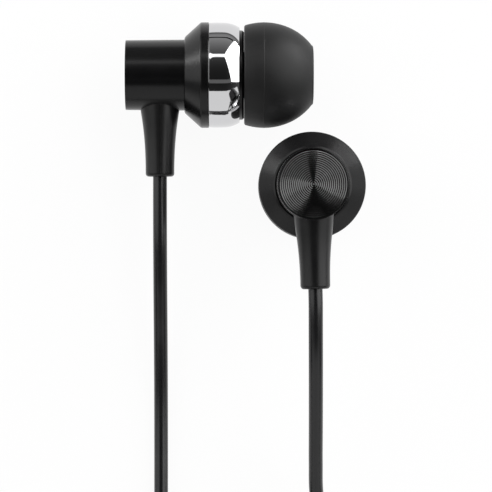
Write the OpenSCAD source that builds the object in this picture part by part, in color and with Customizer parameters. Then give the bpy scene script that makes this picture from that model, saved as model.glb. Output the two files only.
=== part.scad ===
// Wired in-ear earphones: two metal-ringed earpieces with silicone tips, two side
// cables that join at a Y splitter, and one main cable that ends in a 3.5 mm angled plug.
// The cables are wound and strapped as for storage. Everything lies on the plane z = 0:
// the left earpiece on its side, the right one on the mouth of its ear tip.

/* [Housing] */
// Outer diameter of the rear barrel
barrel_d = 8.2; // [7.4:0.1:8.8]
// Length of the rear barrel, from its rear end to the start of the cone
barrel_l = 6.6; // [6.4:0.1:9]
// Length of the cone between the barrel and the rim
cone_l = 2.1; // [1.8:0.1:3]
// Diameter of the rim that the metal ring sits against
rim_d = 12.06; // [11.9:0.01:12.6]
// Length of the rim
rim_l = 0.9; // [0.6:0.1:1.4]
// Wall of the barrel
barrel_wall = 0.8; // [0.6:0.05:1]
// Thickness of the wall behind the rear cap
back_wall = 0.6; // [0.4:0.05:1]

/* [Rear cap] */
// Width of the barrel's lip round the grooved metal cap
rear_lip = 0.32; // [0.25:0.01:0.8]
// Thickness of the cap at its edge
cap_t = 0.55; // [0.4:0.05:0.8]
// Rise of the cap from its edge to its centre
cap_rise = 0.12; // [0.05:0.01:0.2]
// Number of turned grooves
groove_n = 16; // [8:1:18]
// Depth of each groove
groove_depth = 0.05; // [0.03:0.01:0.08]

/* [Metal ring] */
// Outer diameter of the polished ring
ring_d = 12; // [11.8:0.01:12.4]
// Length of the ring
ring_l = 3.5; // [3.3:0.1:5]
// Wall of the ring
ring_wall = 0.5; // [0.4:0.05:0.6]
// Radius of the curl at the ring's front edge
curl_r = 3.2; // [2.8:0.1:4]
// Length of the curl
curl_l = 1.8; // [1.2:0.1:2]

/* [Nozzle] */
// Diameter of the black flange in front of the ring
flange_d = 10.2; // [9.8:0.05:10.2]
// Length of the flange that shows in front of the ring
flange_l = 0.5; // [0.4:0.05:0.8]
// Diameter of the nozzle's neck
neck_d = 4.9; // [4.6:0.1:5.2]
// Diameter of the barb that holds the ear tip
barb_d = 5.5; // [5.3:0.05:5.9]
// Diameter of the sound bore
bore_d = 3.4; // [3:0.1:3.6]
// Length of the nozzle in front of the flange
nozzle_l = 4.6; // [4.2:0.1:5.2]

/* [Driver] */
// Diameter of the driver
driver_d = 10; // [9.6:0.05:10]
// Length of the driver's basket
basket_l = 3.1; // [3:0.05:3.2]
// Diameter of the magnet
magnet_d = 3.5; // [3:0.1:3.7]
// Height of the magnet
magnet_h = 0.9; // [0.7:0.05:1]
// Travel of the diaphragm each way
throw = 0.15; // [0.1:0.01:0.2]

/* [Ear tip] */
// Largest diameter of the silicone ear tip
tip_d = 12.06; // [11.4:0.01:12.6]
// Half length of the egg shape that the tip is cut from
tip_half_l = 6.6; // [6.4:0.05:7]
// Distance from the tip's rear edge to its widest place
tip_belly = 2.25; // [1.8:0.05:2.6]
// Length of the ear tip
tip_l = 7.9; // [7.6:0.1:8.2]
// Thickness of the tip's skirt
tip_wall = 0.55; // [0.4:0.05:0.7]
// Wall of the sleeve that grips the nozzle
sleeve_wall = 0.6; // [0.5:0.05:0.8]
// Diameter of the opening at the front of the tip
mouth_d = 4.4; // [3.8:0.1:4.8]
// Rise of the tip's end from its corner to its mouth
crown_rise = 0.22; // [0.15:0.01:0.4]

/* [Strain relief] */
// Distance from the rear end of the barrel to the middle of the strain relief
relief_x = 4; // [3.2:0.1:4.2]
// Diameter of the relief where it leaves the barrel
relief_top_d = 4.26; // [4.1:0.02:4.6]
// Diameter of the relief where its taper ends
relief_waist_d = 3.3; // [3.1:0.05:3.6]
// Diameter of the relief at its end
relief_end_d = 3.16; // [2.9:0.02:3.4]
// Distance from the earpiece's axis to the end of the relief
relief_reach = 11.5; // [10.5:0.1:13]
// Distance from the earpiece's axis to the end of the taper
relief_waist_at = 7.6; // [7:0.1:8.4]
// Diameter of the relief's neck in the barrel wall
relief_neck_d = 2.5; // [2.3:0.05:2.8]

/* [Cables] */
// Diameter of the two side cables
side_d = 1.6; // [1.4:0.05:1.7]
// Diameter of the main cable
main_d = 2.2; // [2:0.05:2.3]
// Gap between neighbouring turns of a coil
turn_gap = 0.1; // [0.08:0.01:0.2]
// Radius of the outer turn of the side cables' coils
side_coil_r = 10.85; // [10.6:0.05:11.2]
// Radius of the outer turn of the main cable's coil
main_coil_r = 14.15; // [14:0.05:14.5]
// Thickness of the straps round the coils
strap_t = 0.4; // [0.3:0.05:0.5]
// Width of the straps
strap_w = 4; // [3:0.5:6]

/* [Splitter] */
// Diameter of the Y splitter's body
splitter_d = 4.8; // [4.4:0.1:5.4]
// Length of the splitter
splitter_l = 14; // [11:0.5:15]
// Gap between the two side cables where they enter the splitter
port_gap = 0.5; // [0.2:0.05:0.7]

/* [Plug] */
// Diameter of the plug's contacts
pin_d = 3.5; // [3.4:0.01:3.6]
// Length of the plug's pin from its shoulder to its point
pin_l = 14; // [13.4:0.1:15]
// Length of the sleeve contact
sleeve_l = 6; // [5:0.1:6.4]
// Length of the ring contact
ring_contact_l = 2.4; // [1.8:0.1:2.8]
// Length of each insulator between two contacts
insulator_l = 0.6; // [0.4:0.1:0.8]
// Diameter of the plug's grip
grip_d = 6; // [5.4:0.1:7]
// Length of the plug's grip
grip_l = 12.5; // [11:0.1:14]
// Distance from the grip's axis to the pin's shoulder
shoulder = 4.2; // [3.6:0.1:4.8]
// Length of the plug's strain relief
plug_relief_l = 7; // [7:0.5:10]

/* [Hidden] */
SIDES = ["left", "right"];
PIECES = ["rear_cap", "rear_housing", "chrome_ring", "front_housing", "nozzle_mesh",
    "driver_basket", "driver_yoke", "driver_magnet", "pole_plate", "voice_coil", "diaphragm",
    "driver_cover", "damping_paper", "terminal_board", "lead_wires", "strain_relief",
    "cable_end", "ear_tip"];
ON_CABLES = ["left_cable_lead", "left_coil", "left_cable_tail", "right_cable_lead", "right_coil",
    "right_cable_tail", "side_strap", "splitter", "main_cable_lead", "main_coil",
    "main_cable_tail", "main_strap", "plug_grip", "plug_sleeve", "plug_insulator_rear",
    "plug_ring", "plug_insulator_front", "plug_tip"];
$fn = 64;

fit = 0.03;      // gap of parts that are pressed or glued together
slip = 0.05;     // gap of parts that slide
play = 0.1;      // gap round the cables in their straps

// Stations along an earpiece, from its rear end at 0 towards the ear.
barrel_r = barrel_d / 2;
cavity_r = barrel_r - barrel_wall;
cap_r = barrel_r - rear_lip - fit;
edge_r = 0.75 * rear_lip;
recess_x = cap_rise + cap_t;
cavity_x = recess_x + back_wall;
rim_r = rim_d / 2;
rim_x = barrel_l + cone_l;
ring_x = rim_x + rim_l;
ring_r = ring_d / 2;
ring_in_r = ring_r - ring_wall;
lip_w = 0.37;       // how far the ring's front lip reaches in
ring_end = ring_x + ring_l;
lip_r = ring_in_r - lip_w;
flange_r = flange_d / 2;
shoulder_l = 0.5;   // slope that the front housing bears on
lip_l = 0.15;
flange_x = ring_end + flange_l;
driver_r = driver_d / 2;
seat_r = driver_r + fit;
seat_x = ring_x - 0.2;
ledge_w = 0.4;      // ledge that the driver seats on
spigot_l = 1.05;
cover_t = 0.2;
basket_end = seat_x + basket_l;
plate_x = basket_end + cover_t;
nozzle_end = flange_x + nozzle_l;
bore_r = bore_d / 2;
chamber_r = 3.2;

// Driver stations, from its seat.
basket_floor = 0.4;
yoke_wall = 0.35;
coil_gap = 0.2;
former_t = 0.2;
pole_h = 0.35;
pole_r = magnet_d / 2 + 0.1;
coil_in_r = pole_r + coil_gap;
coil_out_r = coil_in_r + former_t;
yoke_in_r = coil_out_r + coil_gap;
yoke_r = yoke_in_r + yoke_wall;
yoke_h = yoke_wall + magnet_h + pole_h;
coil_from = seat_x + yoke_h - 0.7;
film_t = 0.1;
dome_h = 0.45;
bulge_h = 0.2;
film_x = basket_end - cover_t / 2 - throw - dome_h - 2 * film_t;
film_r = driver_r - 0.5;
ledge_x = film_x - throw - 0.15;

// The terminal board behind the driver.
board_t = 0.4;
board_l = 4.2;
board_w = 2;

// Ear tip stations.
tip_x = flange_x + 0.04;
tip_r = tip_d / 2;
belly_x = tip_x + tip_belly;
tip_end = tip_x + tip_l;
sleeve_in_r = barb_d / 2 + slip;
sleeve_r = sleeve_in_r + sleeve_wall;
mouth_r = mouth_d / 2;
mouth_edge = 0.25;
land = 0.35;     // flat round the mouth

// Strain relief, from the earpiece's axis outwards.
relief_neck_r = relief_neck_d / 2;
stop_r = 1.15;
stop_l = 1.3;
lock_r = 1.7;
lock_t = 0.6;
lock_at = floor(10 * sqrt(cavity_r * cavity_r - lock_r * lock_r)) / 10;
stop_at = lock_at - lock_t;

// Where the earpieces lie: the left one on its side, the right one on its ear tip.
axis_h = max(tip_r, rim_r);
left_at = [-13.65, 9.09, axis_h];
between = 0.65;     // gap between the two earpieces, seen from above
right_at = [7.62, left_at[1] - axis_h - between - max(tip_r, rim_r), tip_end];
right_turn = 1.3;

// The cables. Coils lie on their straps.
side_r = side_d / 2;
main_r = main_d / 2;
side_step = side_d + turn_gap;
main_step = main_d + turn_gap;
lift = strap_t + play;
left_x = left_at[0] + relief_x;
side_c = [left_x + side_coil_r, -54];
main_c = [0, -100.4];
side_z = lift + side_r;
main_z = lift + main_r;
left_turns = 6;
right_turns = 6.25;
main_turns = 10;
splitter_at = [-13, -74, splitter_d / 2];
splitter_end = splitter_at[1] - splitter_l;
grip_r = grip_d / 2;
plug_at = [-6, -119.5, grip_r];
RINGS = 24;      // rings in one turn of a coil

// The end of a relief, in the frame of the whole part.
left_exit = [left_x, left_at[1] - relief_reach, axis_h];
right_exit = [right_at[0] + relief_reach * sin(right_turn),
    right_at[1] - relief_reach * cos(right_turn), right_at[2] - relief_x];

// Routes of the cable lengths that aren't coiled. Each starts and ends with a straight
// run of one diameter, square to what it meets, and its middle points are chosen by hand.
SOUTH = [0, -1, 0];
WEST = [-1, 0, 0];
EAST = [1, 0, 0];
function route(from, out, middle, to, into, d) =
    concat([from, from + d * out], middle, [to - d * into, to]);
left_coil_start = [left_x, side_c[1] + side_d, side_z];
left_coil_end = [left_x, side_c[1] - side_d, side_z + side_step];
right_coil_start = [side_c[0] + side_coil_r, side_c[1] + side_d, side_z + 2 * side_step];
right_coil_end = [side_c[0] - side_d, side_c[1] - side_coil_r, side_z + 3 * side_step];
main_coil_start = [main_c[0] - main_coil_r, main_c[1] + main_d, main_z];
main_coil_end = [main_c[0] - main_coil_r, main_c[1] - main_d, main_z + 3 * main_step];
left_port = splitter_at - [(side_d + port_gap) / 2, 0, 0];
right_port = splitter_at + [(side_d + port_gap) / 2, 0, 0];
left_lead = route(left_exit, SOUTH, [[-9.65, -7, 5.9], [-9.65, -10, 5.6], [-9.65, -14, 4.75],
    [-9.65, -18, 3.6], [-9.65, -22, 2.4], [-9.65, -26, 1.5], [-9.65, -30, 1], [-9.65, -34, 0.8],
    [-9.65, -38, 0.8], [-9.65, -42, 0.85], [-9.65, -46, 1.05], [-9.65, -48.6, 1.25]],
    left_coil_start, SOUTH, side_d);
left_tail = route(left_coil_end, SOUTH, [[-9.9, -59.5, 2.95], [-10.8, -62.4, 2.8], [-12.1, -65.6, 2.6],
    [-13.3, -68.4, 2.45], [-13.9, -70.6, 2.4]], left_port, SOUTH, side_d);
right_lead = route(right_exit, [sin(right_turn), -cos(right_turn), 0], [[7.93, -19, 17.25],
    [7.96, -23, 16.2], [8, -27, 14.3], [8.04, -31, 12], [8.08, -35, 9.6], [8.2, -38.6, 7.6],
    [8.8, -42, 6.1], [10, -45, 5.15], [11.5, -47.9, 4.8]],
    right_coil_start, SOUTH, side_d);
right_tail = route(right_coil_end, WEST, [[-4.4, -65.1, 6], [-6.8, -65.9, 5.1], [-9, -67.3, 3.95],
    [-10.7, -69.1, 3], [-11.65, -71, 2.5]], right_port, SOUTH, side_d);
main_lead = route([splitter_at[0], splitter_end, splitter_at[2]], SOUTH,
    [[-13.3, -92.3, 2.2], [-13.75, -94.2, 1.9]], main_coil_start, SOUTH, main_d);
main_tail = route(main_coil_end, SOUTH, [[-14.3, -107.2, 8.1], [-14.15, -109.8, 7.2],
    [-13.6, -112.5, 6], [-12.5, -115.2, 4.8], [-10.9, -117.7, 3.8], [-9.45, -119.15, 3.15]],
    plug_at, EAST, main_d);

// A ring of n points round c, square to the direction t.
function unit(v) = v / norm(v);
function heading(path, i) = unit(path[min(i + 1, len(path) - 1)] - path[max(i - 1, 0)]);
function ring(c, t, r, n) = let (s = unit(cross(t, [0, 0, 1])), u = cross(s, t))
    [for (k = [0:n - 1]) c + r * (cos(360 * k / n) * s + sin(360 * k / n) * u)];

// A tube of n sides swept along a path, with flat ends.
module tube(path, d, n) {
    m = len(path);
    points = [for (i = [0:m - 1]) each ring(path[i], heading(path, i), d / 2, n)];
    walls = [for (i = [0:m - 2], k = [0:n - 1])
        let (a = i * n + k, b = i * n + (k + 1) % n)
        each [[a, a + n, b], [b, a + n, b + n]]];
    back = [for (k = [1:n - 2]) [0, k, k + 1]];
    front = [for (k = [1:n - 2]) [(m - 1) * n, (m - 1) * n + k + 1, (m - 1) * n + k]];
    polyhedron(points, concat(walls, back, front), convexity = 20);
}

// Winding: the radius falls and rises at a steady rate, one layer after the other, and
// the height climbs one step in the half turn where the radius turns back.
function ease(x) = let (u = min(1, max(0, x))) u * u * (3 - 2 * u);
function layer_of(t, per) = floor(t / per + 0.0001);
function wound_r(t, r, step, per) = let (k = layer_of(t, per), f = t - k * per)
    r - step * (k % 2 == 0 ? f : per - f);
function wound_z(t, z, step, per, layers) =
    z + step * (layers < 2 ? 0 : sum([for (j = [1:layers - 1]) ease((t - j * per) * 2 + 0.5)]));
function sum(v, i = 0) = i >= len(v) ? 0 : v[i] + sum(v, i + 1);
function wound(t, c, r, step, per, layers, z, from, way) =
    let (q = wound_r(t, r, step, per), a = from + way * 360 * t)
    [c[0] + q * cos(a), c[1] + q * sin(a), wound_z(t, z, step, per, layers)];
function along(from, way, t) = let (a = from + way * 360 * t) way * [-sin(a), cos(a), 0];

// A coil's path, with a straight run of one diameter at each end.
function coil(c, r, step, turns, layers, z, from, way, d) =
    let (per = turns / layers, n = round(RINGS * turns),
        turn = [for (i = [0:n]) wound(i / RINGS, c, r, step, per, layers, z, from, way)])
    concat([turn[0] - d * along(from, way, 0)], turn, [turn[n] + d * along(from, way, turns)]);

left_coil_path = coil(side_c, side_coil_r, side_step, left_turns, 2, side_z, 180, 1, side_d);
right_coil_path = coil(side_c, side_coil_r, side_step, right_turns, 2,
    side_z + 2 * side_step, 0, -1, side_d);
main_coil_path = coil(main_c, main_coil_r, main_step, main_turns, 4, main_z, 180, 1, main_d);

// The least gap of a coil to itself and between the two side coils, and the lengths.
function self_gap(p, d) = min([for (i = [0:len(p) - 1], j = [i + RINGS / 2:len(p) - 1])
    norm(p[i] - p[j])]) - d;
function gap_between(p, q, d) = min([for (a = p, b = q) norm(a - b)]) - d;
function length(p) = sum([for (i = [1:len(p) - 1]) norm(p[i] - p[i - 1])]);
echo(least_gap_left = self_gap(left_coil_path, side_d));
echo(least_gap_right = self_gap(right_coil_path, side_d));
echo(least_gap_main = self_gap(main_coil_path, main_d));
echo(least_gap_of_side_coils = gap_between(left_coil_path, right_coil_path, side_d));
echo(left_length = length(left_lead) + length(left_coil_path) + length(left_tail));
echo(right_length = length(right_lead) + length(right_coil_path) + length(right_tail));
echo(main_length = length(main_lead) + length(main_coil_path) + length(main_tail));

// Turns an outline of [radius, station] points about the earpiece's axis, which is +X.
module turned(outline) { rotate([0, 90, 0]) rotate_extrude() polygon(outline); }
// A disc or tube between two stations.
module band(r, from, to) { translate([from, 0, 0]) rotate([0, 90, 0]) cylinder(r = r, h = to - from); }
module hollow_band(r, in_r, from, to) {
    turned([[in_r, from], [r, from], [r, to], [in_r, to]]);
}
// Turns an outline about the strain relief's axis, which is -Y at relief_x.
module hung(outline) { translate([relief_x, 0, 0]) rotate([90, 0, 0]) rotate_extrude() polygon(outline); }
// Points of an arc round c from angle a to angle b.
function arc(c, r, a, b, n) = [for (i = [0:n]) c + r * [cos(a + (b - a) * i / n), sin(a + (b - a) * i / n)]];

// Places an earpiece of one side.
module earpiece(side) {
    if (side == "left") translate(left_at) children();
    else translate(right_at) rotate([0, 0, right_turn]) rotate([0, 90, 0]) children();
}

module rear_cap() {
    // The face is a shallow dome with turned grooves, one triangle cut each.
    pitch = (cap_r - 0.1) / groove_n;
    function face_x(r) = cap_rise * (r / cap_r) * (r / cap_r);
    grooves = [for (i = [groove_n - 1:-1:0]) let (r = 0.1 + i * pitch)
        each [[r + pitch, face_x(r + pitch)], [r + pitch / 2, face_x(r + pitch / 2) + groove_depth]]];
    color("dimgray") turned(concat([[0, recess_x], [cap_r, recess_x]], grooves, [[0.1, 0], [0, 0]]));
}

module rear_housing() {
    outline = concat(
        [[0, recess_x], [cap_r + fit, recess_x], [cap_r + fit, cap_rise]],
        arc([barrel_r - edge_r, cap_rise + edge_r], edge_r, -90, 0, 4),
        [[barrel_r, barrel_l], [rim_r - 0.13, rim_x], [rim_r, rim_x + 0.08], [rim_r, ring_x - 0.04],
            [rim_r - 0.04, ring_x], [ring_in_r - fit, ring_x], [ring_in_r - fit, ring_x + spigot_l],
            [seat_r, ring_x + spigot_l], [seat_r, seat_x], [driver_r - ledge_w, seat_x],
            [driver_r - ledge_w, seat_x - 0.5], [cavity_r, barrel_l + 0.3], [cavity_r, cavity_x],
            [0, cavity_x]]);
    color([0.07, 0.07, 0.08]) difference() {
        turned(outline);
        translate([relief_x, 0, 0]) rotate([90, 0, 0]) cylinder(r = relief_neck_r + fit, h = barrel_r + 1);
    }
}

module chrome_ring() {
    curl_a = asin(curl_l / curl_r);
    curl = arc([ring_r - curl_r, ring_end - curl_l], curl_r, 0, curl_a, 6);
    color("silver") turned(concat([[ring_r, ring_x]], curl,
        [[lip_r, ring_end], [lip_r, ring_end - lip_l], [ring_in_r, ring_end - lip_l - shoulder_l],
            [ring_in_r, ring_x]]));
}

module front_housing() {
    skirt_r = ring_in_r - fit;
    throat_r = lip_r - fit;
    flange_edge = 0.22;
    shoulder_x = ring_end - lip_l - fit;
    outline = [[seat_r, ring_x + spigot_l + fit], [skirt_r, ring_x + spigot_l + fit],
        [skirt_r, shoulder_x - shoulder_l], [throat_r, shoulder_x], [throat_r, ring_end + fit],
        [flange_r, ring_end + 0.1], [flange_r - flange_edge, flange_x], [neck_d / 2 + 0.15, flange_x],
        [neck_d / 2, flange_x + 0.15],
        [neck_d / 2, nozzle_end - 2.1], [barb_d / 2, nozzle_end - 1.8],
        [barb_d / 2, nozzle_end - 1.2], [bore_r + 0.6, nozzle_end], [bore_r + 0.3, nozzle_end],
        [bore_r + 0.3, nozzle_end - 0.25], [bore_r, nozzle_end - 0.25], [bore_r, plate_x + 0.5],
        [chamber_r, plate_x + 0.2], [chamber_r, plate_x], [seat_r, plate_x]];
    color([0.07, 0.07, 0.08]) turned(outline);
}

module nozzle_mesh() {
    mesh_t = 0.12;
    hole_step = 0.7;
    color("gray") difference() {
        band(bore_r + 0.3 - fit, nozzle_end - 0.25, nozzle_end - 0.25 + mesh_t);
        for (i = [-2:2], j = [-2:2]) if (abs(i + j) <= 2)
            translate([nozzle_end - 1, hole_step * (i + j / 2), hole_step * j * sin(60)])
                rotate([0, 90, 0]) cylinder(d = 0.4, h = 2, $fn = 6);
    }
}

module driver_basket() {
    color("darkgray") difference() {
        turned([[yoke_r + fit, seat_x], [driver_r, seat_x], [driver_r, basket_end],
            [film_r + 0.25, basket_end], [film_r + 0.25, ledge_x], [film_r - 0.3, ledge_x - 0.2],
            [film_r - 0.3, seat_x + basket_floor], [yoke_r + fit, seat_x + basket_floor]]);
        for (k = [0:3]) rotate([90 * k, 0, 0])
            translate([seat_x - 1, 0, (yoke_r + film_r - 0.3) / 2]) rotate([0, 90, 0])
                cylinder(d = 0.8, h = 2, $fn = 6);
    }
}

module driver_yoke() {
    color("slategray") turned([[0, seat_x], [yoke_r, seat_x], [yoke_r, seat_x + yoke_h],
        [yoke_in_r, seat_x + yoke_h], [yoke_in_r, seat_x + yoke_wall], [0, seat_x + yoke_wall]]);
}

module driver_magnet() {
    from = seat_x + yoke_wall;
    color("lightgray") band(magnet_d / 2, from, from + magnet_h);
}

module pole_plate() {
    from = seat_x + yoke_wall + magnet_h;
    color("gray") band(pole_r, from, from + pole_h);
}

module voice_coil() {
    color("chocolate") hollow_band(coil_out_r, coil_in_r, coil_from, film_x);
}

module diaphragm() {
    // A dome over the voice coil and a shallow roll round it, as a film of one thickness.
    function height(r) = r < coil_out_r ? dome_h * (1 - pow(r / coil_out_r, 2))
        : bulge_h * sin(180 * (r - coil_out_r) / (film_r - coil_out_r));
    radii = [for (i = [0:3]) i * coil_out_r / 4, for (i = [0:6]) coil_out_r + i * (film_r - coil_out_r) / 6];
    top = [for (r = radii) [r, film_x + film_t + height(r)]];
    under = [for (i = [len(radii) - 1:-1:0]) [radii[i], film_x + height(radii[i])]];
    color("wheat") turned(concat(top, under));
}

module driver_cover() {
    color("dimgray") difference() {
        band(driver_r, basket_end, plate_x);
        for (k = [0:5]) rotate([60 * k, 0, 0]) translate([basket_end - 1, 0, 1.6])
            rotate([0, 90, 0]) cylinder(d = 0.9, h = 2, $fn = 6);
        translate([basket_end - 1, 0, 0]) rotate([0, 90, 0]) cylinder(d = 0.9, h = 2, $fn = 6);
    }
}

module damping_paper() {
    color("ivory") hollow_band(driver_r - ledge_w - fit, yoke_r + 0.1, seat_x - 0.12, seat_x);
}

module terminal_board() {
    color("darkgreen") translate([seat_x - board_t, -board_w / 2, -board_l / 2])
        cube([board_t, board_w, board_l]);
}

module lead_wires() {
    // Two wires from the cable's end to the board's pads, in a slack bow.
    wire_d = 0.3;
    pad_x = seat_x - board_t;
    for (s = [-1, 1]) color("firebrick") tube([
        [relief_x, stop_l - stop_at, s * 0.4], [relief_x, stop_l - stop_at + 0.6, s * 0.4],
        [relief_x + 0.4, stop_l - stop_at + 1.2, s * 0.5], [relief_x + 1.3, stop_l - stop_at + 1.35, s * 0.7],
        [pad_x - 2.2, 0.6, s * 1], [pad_x - 0.9, 0.2, s * 1.4], [pad_x, 0.2, s * 1.4]], wire_d, 6);
}

module strain_relief() {
    from = sqrt(barrel_r * barrel_r - pow(relief_top_d / 2, 2)) - 0.3;
    round_r = 0.3;
    end_r = relief_end_d / 2;
    in_r = side_r + fit;
    top_r = relief_top_d / 2;
    waist_r = relief_waist_d / 2;
    color([0.09, 0.09, 0.1]) {
        difference() {
            hung(concat([[relief_neck_r - fit, from], [top_r + 0.12, from], [top_r, barrel_r],
                [waist_r, relief_waist_at - 0.4], [waist_r - 0.05, relief_waist_at + 0.4]],
                arc([end_r - round_r, relief_reach - round_r], round_r, 0, 90, 3),
                [[in_r, relief_reach], [in_r, barrel_r], [relief_neck_r - fit, barrel_r]]));
            band(barrel_r + 0.02, 0, barrel_l + cone_l);
        }
        hung([[in_r, stop_at], [lock_r, stop_at], [lock_r, lock_at], [relief_neck_r, lock_at],
            [relief_neck_r, barrel_r + 0.6], [in_r, barrel_r + 0.6]]);
    }
}

module cable_end() {
    // The cable's last stretch inside the relief, and the crimped stop that holds it.
    color([0.05, 0.05, 0.06]) hung([[0, stop_at - stop_l], [stop_r - 0.3, stop_at - stop_l],
        [stop_r, stop_at - stop_l + 0.3], [stop_r, stop_at - 0.2], [stop_r - 0.2, stop_at],
        [side_r, stop_at], [side_r, relief_reach], [0, relief_reach]]);
}

module ear_tip() {
    // An egg shape cut at the mouth: a skirt outside, a sleeve inside, joined at the front.
    corner_x = tip_end - crown_rise;
    function egg(x, r, half) = r * sqrt(1 - pow((x - belly_x) / half, 2));
    skin_end = tip_end - 1.9;
    outer = [for (i = [0:12]) let (x = tip_x + 0.12 + (corner_x - tip_x - 0.12) * sin(90 * i / 12))
        [egg(x, tip_r, tip_half_l), x]];
    inner = [for (i = [5:-1:0]) let (x = tip_x + (skin_end - tip_x) * i / 5)
        [egg(x, tip_r - tip_wall, tip_half_l - 1.4 * tip_wall), x]];
    color([0.15, 0.15, 0.16]) turned(concat([[outer[0][0] - 0.12, tip_x]], outer,
        [[mouth_r + mouth_edge + land, tip_end], [mouth_r + mouth_edge, tip_end],
            [mouth_r, tip_end - mouth_edge],
            [mouth_r, nozzle_end + 0.4], [sleeve_in_r, nozzle_end + 0.15], [sleeve_in_r, tip_x],
            [sleeve_r, tip_x], [sleeve_r, skin_end - 0.4]], inner));
}

module cable(path, d) { color([0.05, 0.05, 0.06]) tube(path, d, 8); }
module wound_cable(path, d) { color([0.05, 0.05, 0.06]) tube(path, d, 6); }

// A flat loop round a coil's cables where they run along X, between two radii and heights.
function rounded(w, h, r) = concat(
    arc([w / 2 - r, h / 2 - r], r, 0, 90, 3), arc([r - w / 2, h / 2 - r], r, 90, 180, 3),
    arc([r - w / 2, r - h / 2], r, 180, 270, 3), arc([w / 2 - r, r - h / 2], r, 270, 360, 3));
module strap(c, from_r, to_r, height) {
    w = to_r - from_r + 2 * play;
    h = height + 2 * play;
    color("black") translate([c[0], c[1] + (from_r + to_r) / 2, strap_t + h / 2]) rotate([90, 0, 90])
        difference() {
            linear_extrude(strap_w, center = true) polygon(rounded(w + 2 * strap_t, h + 2 * strap_t, 0.9));
            linear_extrude(strap_w + 1, center = true) polygon(rounded(w, h, 0.5));
        }
}
module side_strap() {
    strap(side_c, side_coil_r - side_step * right_turns / 2 - side_r, side_coil_r + side_r,
        3 * side_step + side_d);
}
module main_strap() {
    strap(main_c, main_coil_r - main_step * main_turns / 4 - main_r, main_coil_r + main_r,
        3 * main_step + main_d);
}

module splitter() {
    r = splitter_d / 2;
    neck = main_r + 0.55;
    groove = 0.25;
    ribs = [for (k = [0:2]) let (s = splitter_l - 4.6 + 1.3 * k)
        each [[neck + 0.1, s], [neck - groove, s + 0.15], [neck - groove, s + 0.55], [neck + 0.1, s + 0.7]]];
    color([0.07, 0.07, 0.08]) translate(splitter_at) rotate([90, 0, 0]) rotate_extrude()
        polygon(concat([[0, 0], [r - 0.3, 0]], arc([r - 0.3, 0.3], 0.3, -90, 0, 3),
            [[r, splitter_l * 0.4], [r - 0.25, splitter_l * 0.52], [neck + 0.1, splitter_l * 0.62]], ribs,
            [[neck, splitter_l - 0.25], [neck - 0.25, splitter_l], [0, splitter_l]]));
}

// The plug: the grip runs along +X from where the cable enters, and the pin points to -Y.
pin_r = pin_d / 2;
pin_x = plug_relief_l + grip_l - grip_r - 0.4;
ring_from = sleeve_l + insulator_l;
ring_to = ring_from + ring_contact_l;
tip_from = ring_to + insulator_l;
contact_gap = 0.02;
tail_r = pin_r - 0.45;
sleeve_t = 0.2;
tube_t = 0.2;
in_sleeve_r = tail_r - sleeve_t;
in_rear_r = in_sleeve_r - tube_t;
in_ring_r = in_rear_r - tube_t;
rod_r = in_ring_r - tube_t;
seat_l = pin_r - tail_r;   // cone on which the pin seats in the grip
sleeve_tail = 3.2;
tail_step = 0.4;    // each layer reaches this much further in than the one round it
pocket_l = sleeve_tail + 4 * tail_step + 0.2;
module plug_place() { translate(plug_at) children(); }
// Turns an outline of [radius, distance past the shoulder] points about the pin's axis.
module pin_turned(outline) {
    plug_place() translate([pin_x, -shoulder, 0]) rotate([90, 0, 0]) rotate_extrude() polygon(outline);
}
module plug_grip() {
    relief_r = main_r + 0.45;
    ribs = [for (k = [0:3]) let (s = 1 + 1.4 * k, r = relief_r + 0.12 * k)
        each [[r, s], [r - 0.3, s + 0.15], [r - 0.3, s + 0.55], [r + 0.06, s + 0.7]]];
    end_x = plug_relief_l + grip_l;
    pocket_r = tail_r + contact_gap;
    countersink_r = pin_r + contact_gap;
    color([0.07, 0.07, 0.08]) difference() {
        plug_place() union() {
            turned(concat([[0, 0], [relief_r - 0.25, 0], [relief_r - 0.05, 0.25]], ribs,
                [[relief_r + 0.5, plug_relief_l], [grip_r - 0.3, plug_relief_l + 0.1],
                    [grip_r, plug_relief_l + 0.5]],
                arc([grip_r - 1.4, end_x - 1.4], 1.4, 0, 90, 6), [[0, end_x]]));
            translate([pin_x, 0, 0]) rotate([90, 0, 0]) cylinder(r = grip_r - 0.35, h = shoulder);
        }
        pin_turned([[0, -pocket_l], [pocket_r, -pocket_l], [pocket_r, -seat_l], [countersink_r, 0],
            [countersink_r, 1], [0, 1]]);
    }
}
// A contact or insulator: a tail nested in the one before it, and a head outside.
module pin_layer(head_from, head_to, out_r, in_r, depth) {
    tail = sleeve_tail + depth * tail_step;
    pin_turned([[in_r, -tail], [out_r, -tail], [out_r, head_from], [pin_r, head_from], [pin_r, head_to],
        [in_r, head_to]]);
}
module plug_sleeve() {
    in_r = in_sleeve_r + contact_gap;
    color("silver") pin_turned([[in_r, -sleeve_tail], [tail_r, -sleeve_tail], [tail_r, -seat_l], [pin_r, 0],
        [pin_r, sleeve_l], [in_r, sleeve_l]]);
}
module plug_insulator_rear() {
    color("black") pin_layer(sleeve_l, ring_from, in_sleeve_r, in_rear_r + contact_gap, 1);
}
module plug_ring() {
    color("silver") pin_layer(ring_from, ring_to, in_rear_r, in_ring_r + contact_gap, 2);
}
module plug_insulator_front() {
    color("black") pin_layer(ring_to, tip_from, in_ring_r, rod_r + contact_gap, 3);
}
module plug_tip() {
    neck_r = 1.15;
    rod_from = -(sleeve_tail + 4 * tail_step);
    color("silver") pin_turned([[0, rod_from], [rod_r, rod_from], [rod_r, tip_from], [pin_r, tip_from],
        [pin_r, tip_from + 0.4], [neck_r, pin_l - 2.8], [neck_r, pin_l - 2.5], [pin_r - 0.25, pin_l - 1.9],
        [pin_r - 0.3, pin_l - 1.6], [0.55, pin_l - 0.2], [0.3, pin_l], [0, pin_l]]);
}

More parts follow.
